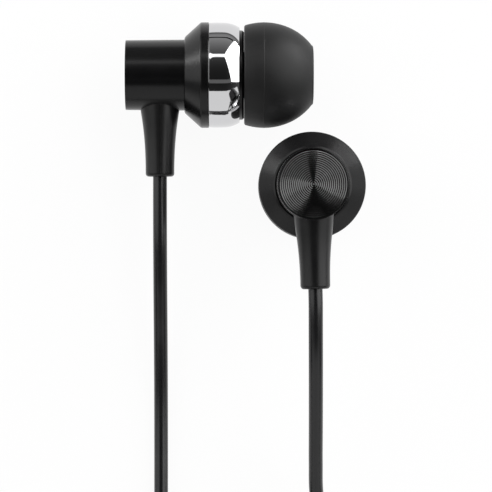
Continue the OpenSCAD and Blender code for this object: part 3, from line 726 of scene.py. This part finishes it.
class EARPHONES_OT_caps(bpy.types.Operator):
    """Builds the caps at the rear ends, with their turned grooves"""

    bl_idname = "earphones.caps"
    bl_label = "Grooved Caps"

    def execute(self, context):
        s = InMillimetres(settings().earpiece)
        grooves, cap_r, flat, back = settings().earpiece.groove_n, s.cap_d / 2, 0.06, 0.66
        pitch = (cap_r - flat) / grooves
        radius = np.linspace(0, cap_r - flat, 16 * grooves + 1)
        # The face is a parabola with a V as wide as half a pitch cut into it once a pitch.
        face = s.cap_rise * (radius / cap_r) ** 2
        face += s.groove_depth * np.clip(1 - np.abs(4 * (radius / pitch % 1) - 1), 0, 1)
        rim = rounded([(cap_r - flat, face[-1]), (cap_r, s.cap_rise + 0.005, 0.03), (cap_r, back), (0, back)])
        outline = np.concatenate([np.column_stack([radius, face]), rim[1:]])
        finish = {
            side: lacquered_turned(
                f"{side} cap lacquer",
                settings().finish.cap,
                PLACES[side].translation * MM,
                PLACES[side].to_3x3() @ Vector((1, 0, 0)),
                0.02 * MM,
            )
            for side in SIDES
        }
        pair("cap", turned(outline, AROUND["housing"]), finish, "cap_metal", "rear_cap", crease=12, ring=False)
        return {"FINISHED"}


class EARPHONES_OT_rings(bpy.types.Operator):
    """Builds the polished metal rings, curled in at the front"""

    bl_idname = "earphones.rings"
    bl_label = "Metal Rings"

    def execute(self, context):
        s, _, ring_x, ring_end, _, _ = earpiece()
        r, edge, seat_r = s.ring_d / 2, 0.09, s.ring_d / 2 - 0.4
        curl = math.degrees(math.asin(s.curl_l / s.curl_r))
        lip, inner = s.flange_d / 2 + 0.03, r - s.ring_wall
        # The band is crowned: its slope runs from -4.5 to 2.5 degrees, and then round the curl.
        run = np.linspace(0, 1, 91)
        curl_at = (s.ring_l - s.curl_l) / s.ring_l
        slope = np.radians(np.interp(run, [0, 0.5 * curl_at, curl_at, 1], [-4.5, 0, 2.5, curl - 1.5]))
        middle = (slope[1:] + slope[:-1]) / 2
        step = (s.ring_l - edge) / np.cos(middle).sum()
        station = ring_x + edge + np.concatenate([[0], np.cumsum(step * np.cos(middle))])
        bulge = -np.concatenate([[0], np.cumsum(step * np.sin(middle))])
        outside = np.column_stack([r + bulge - bulge.max(), station])[:-1]
        rear = rounded([(seat_r, ring_x), (outside[0][0], ring_x, edge), outside[1]], 8)
        front = rounded([outside[-1], (outside[-1][0] - 0.035, ring_end, 0.05), (lip, ring_end)])
        back = [(lip, ring_end), (lip, ring_end - 0.15), (inner, ring_end - 0.65), (inner, ring_x), (seat_r, ring_x)]
        outline = np.concatenate([rear[:-1], outside[1:], front[1:], back[1:-1]])
        finish = metal("polished ring", settings().finish.chrome, 0.045, 0.5 * MM, depth=0.15e-6, tint=0.02)
        pair("ring", turned(fine(outline, STEP["ring"]), AROUND["ring"]), finish, "polished_ring", "chrome_ring")
        return {"FINISHED"}


class EARPHONES_OT_fronts(bpy.types.Operator):
    """Builds the front housings, with their flange and barbed nozzle"""

    bl_idname = "earphones.fronts"
    bl_label = "Front Housings"

    def execute(self, context):
        s, _, ring_x, ring_end, flange_x, end = earpiece()
        skirt_r, skirt_x, flange_r = s.ring_d / 2 - s.ring_wall - 0.03, ring_x + 1.1, s.flange_d / 2
        inner, step_r, neck_r, barb_r, bore_r = skirt_r - 0.4, 3.2, s.neck_d / 2, s.barb_d / 2, s.bore_d / 2
        outline = rounded([
            (inner, skirt_x), (skirt_r, skirt_x), (skirt_r, ring_end - 0.68), (flange_r, ring_end - 0.18),
            (flange_r, flange_x - 0.2, 0.1), (flange_r - 0.2, flange_x, 0.1), (neck_r, flange_x, 0.25),
            (neck_r, end - 2.1, 0.15), (barb_r, end - 1.8, 0.1), (barb_r, end - 1.2, 0.4),
            (bore_r + 0.55, end, 0.12), (bore_r + 0.3, end, 0.05), (bore_r + 0.3, end - 0.25),
            (bore_r, end - 0.25), (bore_r, ring_x + 3.6, 0.1), (step_r, ring_x + 3.3, 0.1),
            (step_r, ring_x + 3.1), (inner, ring_x + 3.1), (inner, skirt_x),
        ])
        finish = moulded("front plastic", settings().finish.housing, 0.3, 0.25)
        grid = turned(fine(outline, STEP["housing"])[:-1], AROUND["front"])
        pair("front", grid, finish, "housing_plastic", "front_housing")
        return {"FINISHED"}


class EARPHONES_OT_tips(bpy.types.Operator):
    """Builds the silicone ear tips, with their skirt, sleeve and mouth"""

    bl_idname = "earphones.tips"
    bl_label = "Ear Tips"

    def execute(self, context):
        e, _, _, _, flange_x, nozzle_end = earpiece()
        s = InMillimetres(settings().tip)
        rear = flange_x + 0.04
        front, belly_x, edge = rear + s.tip_l, rear + s.belly, rear + s.wall / 2
        corner, skin_end = front - s.crown, front - 1.9

        def egg(x, radius, length):
            """The radius of an ellipse with its widest place at the belly."""
            return radius * np.sqrt(1 - ((x - belly_x) / length) ** 2)

        x = edge + (corner - edge) * np.sin(np.linspace(0, math.pi / 2, 90))
        x = np.sort(np.concatenate([x, belly_x + np.linspace(-0.12, 0.12, 25)]))
        # The parting line is a bell-shaped ridge at the widest place.
        ridge = s.seam * np.exp(-(((x - belly_x) / 0.035) ** 2))
        outside = np.column_stack([egg(x, s.tip_d / 2, s.half_l) + ridge, x])
        inner_x = np.linspace(skin_end, edge, 30)
        inside = np.column_stack([egg(inner_x, s.tip_d / 2 - s.wall, s.half_l - 1.4 * s.wall), inner_x])
        middle = (outside[0] + inside[-1]) / 2
        lip = arc(middle, (outside[0][0] - inside[-1][0]) / 2, 180, 360, 10)
        mouth_r, sleeve_in = s.mouth_d / 2, e.barb_d / 2 + 0.05
        sleeve_out = sleeve_in + s.sleeve_wall
        core = rounded([
            outside[-1], (outside[-1][0] - 0.12, front - 0.06, 0.6), (mouth_r + 0.6, front, 1.2),
            (mouth_r, front, 0.25), (mouth_r, nozzle_end + 0.4, 0.1), (sleeve_in, nozzle_end + 0.15, 0.1),
            (sleeve_in, rear, 0.1), (sleeve_out, rear, 0.1), (sleeve_out, skin_end - 0.4, 0.4), inside[0],
        ])
        outline = np.concatenate([lip, outside[1:], fine(core, STEP["tip"])[1:-1], inside[:-1]])
        finish = soft_rubber("matt silicone", settings().finish.silicone, 0.52)
        pair("tip_skin", turned(outline, AROUND["tip"]), finish, "silicone", "ear_tip", "tip", crease=50)
        return {"FINISHED"}


class EARPHONES_OT_reliefs(bpy.types.Operator):
    """Builds the tapered strain reliefs that lead the cables out of the barrels"""

    bl_idname = "earphones.reliefs"
    bl_label = "Strain Reliefs"

    def execute(self, context):
        s, e = InMillimetres(settings().cable), InMillimetres(settings().earpiece)
        barrel_r, reach, corner = (e.rear_d + e.barrel_d) / 4, s.relief_reach, 0.36
        top_r, end_r, bore_r = s.relief_top_d / 2, s.relief_end_d / 2, s.side_d / 2 + 0.03
        a = np.arange(AROUND["relief"]) * 2 * math.pi / AROUND["relief"]
        # The top follows the barrel: its station is the height of the round barrel there.
        saddle = np.sqrt(barrel_r**2 - (top_r * np.sin(a)) ** 2)
        # The radius falls from the top's to the end's by a power of what is left of the way.
        down = barrel_r + (reach - corner - barrel_r) * np.linspace(0, 1, 70) ** 0.9
        radius = end_r + (top_r - end_r) * ((reach - down) / (reach - barrel_r)) ** 2.35
        end = arc((radius[-1] - corner, down[-1]), corner, 0, 90, 8)[1:]
        face = [(bore_r + 0.12, reach), (bore_r, reach - 0.1), (bore_r, barrel_r)]
        outline = np.concatenate([np.column_stack([radius, down]), end, face])
        ride_up = np.clip(1 - (outline[:, 1:] - barrel_r) / 1.6, 0, 1) ** 2
        station = outline[:, 1:] + ride_up * (saddle - barrel_r - 0.06)
        # A mould line runs down the two sides that face along the cross axis.
        mark = 0.02 * np.exp(-(((np.abs(np.sin(a)) - 1) / 0.0009) ** 2))
        r = outline[:, :1] + (np.arange(len(outline)) < len(down))[:, None] * mark
        grid = np.stack([s.relief_x + r * np.cos(a), -station, r * np.sin(a)], -1)
        finish = moulded("relief moulding", settings().finish.moulding, 0.33, 0.3)
        pair("relief", grid, finish, "relief_plastic", "strain_relief")
        return {"FINISHED"}


# -------------------------------------------------------------------------- cables


# Points of the cables' free runs, in millimetres, from the earpieces to the plug.
LEFT_LEAD = [
    (-9.65, -2.41, 6.03), (-9.65, -4.01, 6.03), (-9.65, -7, 5.9), (-9.65, -10, 5.6), (-9.65, -14, 4.75),
    (-9.65, -18, 3.6), (-9.65, -22, 2.4), (-9.65, -26, 1.5), (-9.65, -30, 1), (-9.65, -34, 0.82),
    (-9.65, -38, 0.82), (-9.65, -42, 0.82), (-9.6, -46, 0.84),
]
LEFT_TAIL = [(-9.8, -59.3, 2.7), (-10.8, -62.4, 2.5), (-12.1, -65.6, 2.4), (-13.3, -68.4, 2.4), (-13.9, -70.6, 2.4)]
RIGHT_LEAD = [
    (7.881, -15.117, 17.54), (7.917, -16.717, 17.54), (7.93, -19, 17.25), (7.96, -23, 16.2), (8, -27, 14.3),
    (8.04, -31, 12), (8.08, -35, 9.6), (8.2, -38.6, 7.6), (8.8, -42, 6.0), (10, -45.2, 4.95),
]
RIGHT_TAIL = [(-4.4, -65, 5.5), (-6.8, -65.9, 4.75), (-9, -67.3, 3.75), (-10.7, -69.1, 2.9), (-11.65, -71, 2.45)]
MAIN_LEAD = [(-13.3, -92.3, 2.1), (-13.6, -94.4, 1.7)]
MAIN_TAIL = [
    (-14, -105.3, 7.7), (-14.05, -108.6, 7.2), (-13.5, -112.3, 5.9), (-12.4, -115.2, 4.75), (-10.9, -117.7, 3.75),
    (-9.45, -119.15, 3.13),
]
SPLITTER_AT = np.array([-13, -74, 2.4])
PLUG_AT = np.array([-6, -119.5, 3])
SIDE_CENTRE = (1.2, -54)
MAIN_CENTRE = (0, -100.4)
STRAP_COMPASS = 90
SOUTH = np.array([0, -1, 0])
EAST = np.array([1, 0, 0])
PIN_PARTS = ("sleeve", "insulator_rear", "ring", "insulator_front", "tip")


def coil(centre, outer, diameter, turns, layers, start, way, base, s):
    """The line of a neat coil of piled loops, lying on the floor but for where its strap lifts it.

    The radius falls by a step a turn through one layer and rises through the next. The height
    climbs a step in the half turn about each layer's end, by the cubic 3u^2 - 2u^3, and sags
    by the strap's lift as the angle leaves the strap. The loops are a hundredth longer one way
    than across.
    """
    per, step = turns / layers, diameter + s.turn_gap
    t = np.linspace(0, turns, round(COIL_POINTS * turns) + 1)
    layer = np.minimum(np.floor(t / per + 1e-6), layers - 1)
    done = t - layer * per
    a = math.radians(start) + way * 2 * math.pi * t
    # The loops close up about the middle of the frame's coil, which keeps their length.
    radius = outer - (s.frame_gap - s.turn_gap) * per / 2 - step * np.where(layer % 2 == 0, done, per - done)
    radius = radius * (1 + 0.01 * np.sin(2 * a + 0.7))
    u = np.clip((t[:, None] - np.arange(1, layers) * per) * 2 + 0.5, 0, 1)
    off = np.abs((a - math.radians(STRAP_COMPASS) + math.pi) % (2 * math.pi) - math.pi)
    beside_strap, falling = 0.35, 0.75
    sag = np.clip((off - beside_strap) / falling, 0, 1)
    height = base + step * (u * u * (3 - 2 * u)).sum(-1) - (s.strap_t + 0.02) * sag * sag * (3 - 2 * sag)
    return np.stack([centre[0] + radius * np.cos(a), centre[1] + radius * np.sin(a), height], -1)


def coils(s):
    """The lines of the three coils. The right cable's lies on the left cable's."""
    side_base, main_base = (s.strap_t + d / 2 + 0.02 for d in (s.side_d, s.main_d))
    top_base = side_base + 2 * (s.side_d + s.turn_gap)
    left = coil(SIDE_CENTRE, s.side_coil_r, s.side_d, 6, 2, 180, 1, side_base, s)
    right = coil(SIDE_CENTRE, s.side_coil_r, s.side_d, 6.25, 2, 0, -1, top_base, s)
    main = coil(MAIN_CENTRE, s.main_coil_r, s.main_d, 10, 4, 180, 1, main_base, s)
    return left, right, main


def flowing(points, step):
    """A smooth curve through the points, sampled at equal steps of the chords' length.

    Each run is a cubic Hermite curve, whose slope at a point is the mean of the two chords'
    slopes there, each weighted by the other's length.
    """
    p = np.asarray(points, float)
    p = p[np.concatenate([[True], np.linalg.norm(np.diff(p, axis=0), axis=1) > 1e-4])]
    chord = np.diff(p, axis=0)
    length = np.linalg.norm(chord, axis=1, keepdims=True)
    slope = chord / length
    inner = (slope[:-1] * length[1:] + slope[1:] * length[:-1]) / (length[:-1] + length[1:])
    slopes = np.concatenate([slope[:1], inner, slope[-1:]])
    at = np.concatenate([[0], np.cumsum(length)])
    t = np.linspace(0, at[-1], math.ceil(at[-1] / step) + 1)
    i = np.clip(np.searchsorted(at, t, side="right") - 1, 0, len(length) - 1)
    h = length[i]
    u = ((t - at[i]) / h[:, 0])[:, None]
    return (
        (2 * u**3 - 3 * u**2 + 1) * p[i]
        + (u**3 - 2 * u**2 + u) * h * slopes[i]
        + (3 * u**2 - 2 * u**3) * p[i + 1]
        + (u**3 - u**2) * h * slopes[i + 1]
    )


class EARPHONES_OT_cables(bpy.types.Operator):
    """Builds the two side cables and the main cable, each one unbroken run with its coil"""

    bl_idname = "earphones.cables"
    bl_label = "Cables"

    def execute(self, context):
        s = InMillimetres(settings().cable)
        finish = cable_jacket("cable jacket", settings().finish.jacket)
        left, right, main = coils(s)
        apart = (s.side_d / 2 + 0.25) * EAST
        runs = (("left", LEFT_LEAD, left, LEFT_TAIL, -apart), ("right", RIGHT_LEAD, right, RIGHT_TAIL, apart))
        for side, lead, wound, tail, aside in runs:
            end = SPLITTER_AT + aside
            points = np.concatenate([lead, wound, tail, [end - s.side_d * SOUTH, end]])
            self.cable(side, flowing(points, STEP["side cable"]), s.side_d, finish, "fitting", ["splitter_moulding"])
        below = SPLITTER_AT + s.splitter_l * SOUTH
        leaving, arriving = [below, below + s.main_d * SOUTH], [PLUG_AT - s.main_d * EAST, PLUG_AT]
        points = np.concatenate([leaving, MAIN_LEAD, main, MAIN_TAIL, arriving])
        pins = ["plug_grip_moulding", "pin_point"] + [f"pin_{n}" for n in PIN_PARTS[:-1]]
        self.cable("main", flowing(points, STEP["main cable"]), s.main_d, finish, "plug", pins)
        return {"FINISHED"}

    def cable(self, name, path, diameter, finish, far_end, with_pieces):
        """One cable: its mesh and what it stands for. Its real length is worked out, and nothing uses it."""
        path[:, 2] = np.maximum(path[:, 2], diameter / 2 + 0.01)
        thing = piece(f"{name}_cable", swept(path, diameter / 2, AROUND["cable"]), ring=False, tube_uv=True)
        settle(thing, finish, [f"{name}_cable_lead", f"{name}_coil", f"{name}_cable_tail"])
        path, diameter = path * MM, diameter * MM
        length = float(np.linalg.norm(np.diff(path, axis=0), axis=1).sum())


class EARPHONES_OT_straps(bpy.types.Operator):
    """Builds the soft straps that hold the coils"""

    bl_idname = "earphones.straps"
    bl_label = "Coil Straps"

    def execute(self, context):
        s = InMillimetres(settings().cable)
        left, right, main = coils(s)
        finish = soft_rubber("strap rubber", settings().finish.strap, 0.5)
        side = self.band(np.concatenate([left, right]), SIDE_CENTRE, s.side_d, s)
        settle(piece("side_strap_band", side), finish, ["side_strap"])
        settle(piece("main_strap_band", self.band(main, MAIN_CENTRE, s.main_d, s)), finish, ["main_strap"])
        return {"FINISHED"}

    def band(self, held, centre, diameter, s):
        """A flat band round the coils' bundle where it runs along X, as a closed grid.

        The loop's line is a box with round corners in the YZ plane. At each of its points the
        band's own section, a thin box with round edges, is set square to the line.
        """
        reach = diameter / 2 + 0.06
        held = held[(np.abs(held[:, 0] - centre[0]) < s.strap_w / 2) & (held[:, 1] > centre[1])]
        _, inner, _ = held.min(0) - reach
        _, outer, high = held.max(0) + reach
        low = s.strap_t
        line = round_box((outer - inner) / 2, (high - low) / 2, 0.75, 8)
        line = fine(np.concatenate([line, line[:1]]), STEP["strap"])[:-1]
        heading = np.roll(line, -1, 0) - np.roll(line, 1, 0)
        heading /= np.hypot(*heading.T)[:, None]
        out = np.column_stack([heading[:, 1], -heading[:, 0]])
        section = round_box(s.strap_w / 2, s.strap_t / 2, 0.14, 4) + (0, s.strap_t / 2)
        flat = line[:, None] + section[None, :, 1:] * out[:, None] + ((outer + inner) / 2, (high + low) / 2)
        across = centre[0] + section[:, 0] + 0 * flat[..., 0]
        return np.concatenate([across[..., None], flat], -1)


def southward(at):
    """Turns a shape about X to an axis that runs along -Y from a point."""
    return Matrix.Translation(at) @ Matrix.Rotation(math.radians(-90), 4, "Z")


class EARPHONES_OT_splitter(bpy.types.Operator):
    """Builds the Y splitter that joins the side cables to the main cable"""

    bl_idname = "earphones.splitter"
    bl_label = "Splitter"

    def execute(self, context):
        s = InMillimetres(settings().cable)
        r, neck, end = s.splitter_d / 2, s.main_d / 2 + 0.55, s.splitter_l
        flex = end * 0.64, end - 0.9
        body = [
            (0, 0), (r - 0.12, 0, 0.3), (r, 1.2, 0.8), (r, end * 0.4, 6), (neck + 0.12, flex[0], 3),
            (neck + 0.05, flex[1]),
        ]
        body = fine(rounded(body, 8), STEP["fitting"])
        ribs = ribbed(neck + 0.09, np.linspace(*flex, 90), 0.26, 3)
        tail = rounded([(neck + 0.09, flex[1]), (neck, end, 0.25), (0, end)])
        outline = np.concatenate([body[body[:, 1] < flex[0]], ribs, tail[1:]])
        finish = moulded("splitter moulding", settings().finish.moulding, 0.34, 0.5)
        grid, place = turned(outline, AROUND["fitting"]), southward(SPLITTER_AT)
        thing = piece("splitter_moulding", grid, place, crease=50, ring=False)
        settle(thing, finish, ["splitter"])
        return {"FINISHED"}


class EARPHONES_OT_plug(bpy.types.Operator):
    """Builds the angled plug: its moulded grip and its plated contacts"""

    bl_idname = "earphones.plug"
    bl_label = "Plug"

    def execute(self, context):
        s = InMillimetres(settings().cable)
        pin_x = s.grip_relief_l + s.grip_l - s.grip_d / 2 - 0.4
        place = southward(PLUG_AT + pin_x * EAST)
        self.grip(s, place)
        self.pin(s, place)
        return {"FINISHED"}

    def grip(self, s, pin_place):
        """The grip, its flex ribs and its boss, joined by a union of two turned shapes."""
        r, relief_r = s.grip_d / 2, s.main_d / 2 + 0.45
        end, start = s.grip_relief_l + s.grip_l, s.grip_relief_l
        x = np.linspace(0.7, start - 0.6, 110)
        ribs = ribbed(relief_r + 0.5 * (x / start) ** 2, x, 0.3, 4)
        nose = rounded([(0, 0), (relief_r - 0.02, 0, 0.25), ribs[0]])
        hold = [
            ribs[-1], (relief_r + 0.5, start, 0.2), (r - 0.25, start + 0.15, 0.3), (r, start + 1.2, 1.5),
            (r - 0.18, start + s.grip_l * 0.45, 6), (r, end - 3, 3), (r - 0.1, end, 1.5), (0, end),
        ]
        outline = np.concatenate([nose[:-1], ribs, fine(rounded(hold, 8), STEP["fitting"])[1:]])
        finish = moulded("grip moulding", settings().finish.moulding, 0.36, 0.5)
        place = Matrix.Translation(PLUG_AT)
        thing = piece("plug_grip_moulding", turned(outline, AROUND["fitting"]), place, crease=50, ring=False)
        boss_r = r - 0.35
        foot_r = boss_r + 0.1
        boss = rounded([(0, 0), (foot_r, 0), (foot_r, r - 0.3, 0.3), (boss_r, s.shoulder, 0.18), (0, s.shoulder)])
        grid = turned(fine(boss, STEP["fitting"]), AROUND["fitting"])
        arm = piece("plug_boss", grid, pin_place, crease=50, ring=False)
        join = thing.modifiers.new("join", "BOOLEAN")
        join.operation, join.solver, join.object = "UNION", "EXACT", arm
        made = bpy.data.meshes.new_from_object(thing.evaluated_get(bpy.context.evaluated_depsgraph_get()))
        thing.modifiers.clear()
        thing.data = made
        bpy.data.objects.remove(arm)
        made.set_sharp_from_angle(angle=math.radians(50))
        settle(thing, finish, ["plug_grip"])

    def pin(self, s, place):
        """Contacts and insulators, each a turned ring, with the pin's point on the last."""
        r, base, end = s.pin_d / 2, s.shoulder, s.shoulder + s.pin_l
        core, edge = 0.5, 0.04
        marks = [base - 0.2, base + 6, base + 6.6, base + 9, base + 9.6]
        gold = metal("gold plating", settings().finish.gold, 0.16, 0.12 * MM, (1, 3, 1), 0.25e-6, 0.05)
        black = moulded("pin insulator", settings().finish.insulator, 0.3, 0.5)
        for name, start, stop in zip(PIN_PARTS[:-1], marks, marks[1:]):
            inset = 0.03 if "insulator" in name else 0
            outside = [(r - inset, start, edge), (r - inset, stop, edge)]
            outline = rounded([(core, start), *outside, (core, stop), (core, start)])
            thing = piece(f"pin_{name}", turned(fine(outline, STEP["contact"])[:-1], AROUND["fitting"]), place)
            settle(thing, black if inset else gold, [f"plug_{name}"])
        point = [
            (0, marks[-1]), (r, marks[-1], edge), (r, base + 10, 0.3), (1.15, base + 11.25, 0.5),
            (r - 0.22, base + 12.15, 0.45), (0.55, end - 0.25, 0.6), (0.25, end, 0.1), (0, end),
        ]
        grid = turned(fine(rounded(point, 8), STEP["point"]), AROUND["fitting"])
        thing = piece("pin_point", grid, place, ring=False)
        settle(thing, gold, ["plug_tip"])


class EARPHONES_OT_inside(bpy.types.Operator):
    """Gives the driver's parts and the other hidden parts their finishes"""

    bl_idname = "earphones.inside"
    bl_label = "Inner Parts"

    def execute(self, context):
        f = settings().finish
        steel = metal("soft steel", f.steel, 0.34, 0.2 * MM, (1, 6, 6))
        finishes = {
            "nozzle_mesh": metal("nozzle mesh", f.mesh, 0.3, 0.1 * MM),
            "driver_basket": moulded("basket plastic", f.basket, 0.45, 0.4),
            "driver_yoke": steel,
            "driver_magnet": metal("nickel magnet", f.magnet, 0.25),
            "pole_plate": steel,
            "voice_coil": winding("voice coil winding", f.copper, 0.06 * MM),
            "diaphragm": porous("polyester film", f.film, 0.5 * MM, 0.22),
            "driver_cover": steel,
            "damping_paper": porous("damping paper", f.paper, 0.12 * MM),
            "terminal_board": porous("glass board", f.board, 0.15 * MM, 0.4),
            "lead_wires": moulded("lacquered wire", f.wire, 0.3, 0.5),
            "cable_end": moulded("crimped cable", f.jacket, 0.35, 0.5),
        }
        for side in SIDES:
            for node, finish in finishes.items():
                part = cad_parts[f"{side}_{node}"]
                part.data.materials.clear()
                part.data.materials.append(finish)
        return {"FINISHED"}


# ---------------------------------------------------------------------------- panel


STEPS = (
    EARPHONES_OT_stage,
    EARPHONES_OT_splitter,
    EARPHONES_OT_plug,
    EARPHONES_OT_cables,
    EARPHONES_OT_straps,
    EARPHONES_OT_housings,
    EARPHONES_OT_caps,
    EARPHONES_OT_rings,
    EARPHONES_OT_fronts,
    EARPHONES_OT_tips,
    EARPHONES_OT_reliefs,
    EARPHONES_OT_inside,
)


class EARPHONES_PT_panel(bpy.types.Panel):
    """Lists the steps that build the earphones"""

    bl_label = "Earphones"
    bl_space_type = "VIEW_3D"
    bl_region_type = "UI"
    bl_category = "Earphones"

    def draw(self, context):
        for step in STEPS:
            self.layout.operator(step.bl_idname)


CLASSES = (EarpieceSizes, TipSizes, CableSizes, Finishes, StageSettings, Earphones, *STEPS, EARPHONES_PT_panel)


def register():
    for item in CLASSES:
        bpy.utils.register_class(item)
    bpy.types.Scene.earphones = bpy.props.PointerProperty(type=Earphones)


def unregister():
    del bpy.types.Scene.earphones
    for item in reversed(CLASSES):
        bpy.utils.unregister_class(item)


def main():
    """Builds everything in order."""
    register()
    for step in STEPS:
        group, name = step.bl_idname.split(".")
        getattr(getattr(bpy.ops, group), name)()
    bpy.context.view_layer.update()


if __name__ == "__main__":
    main()
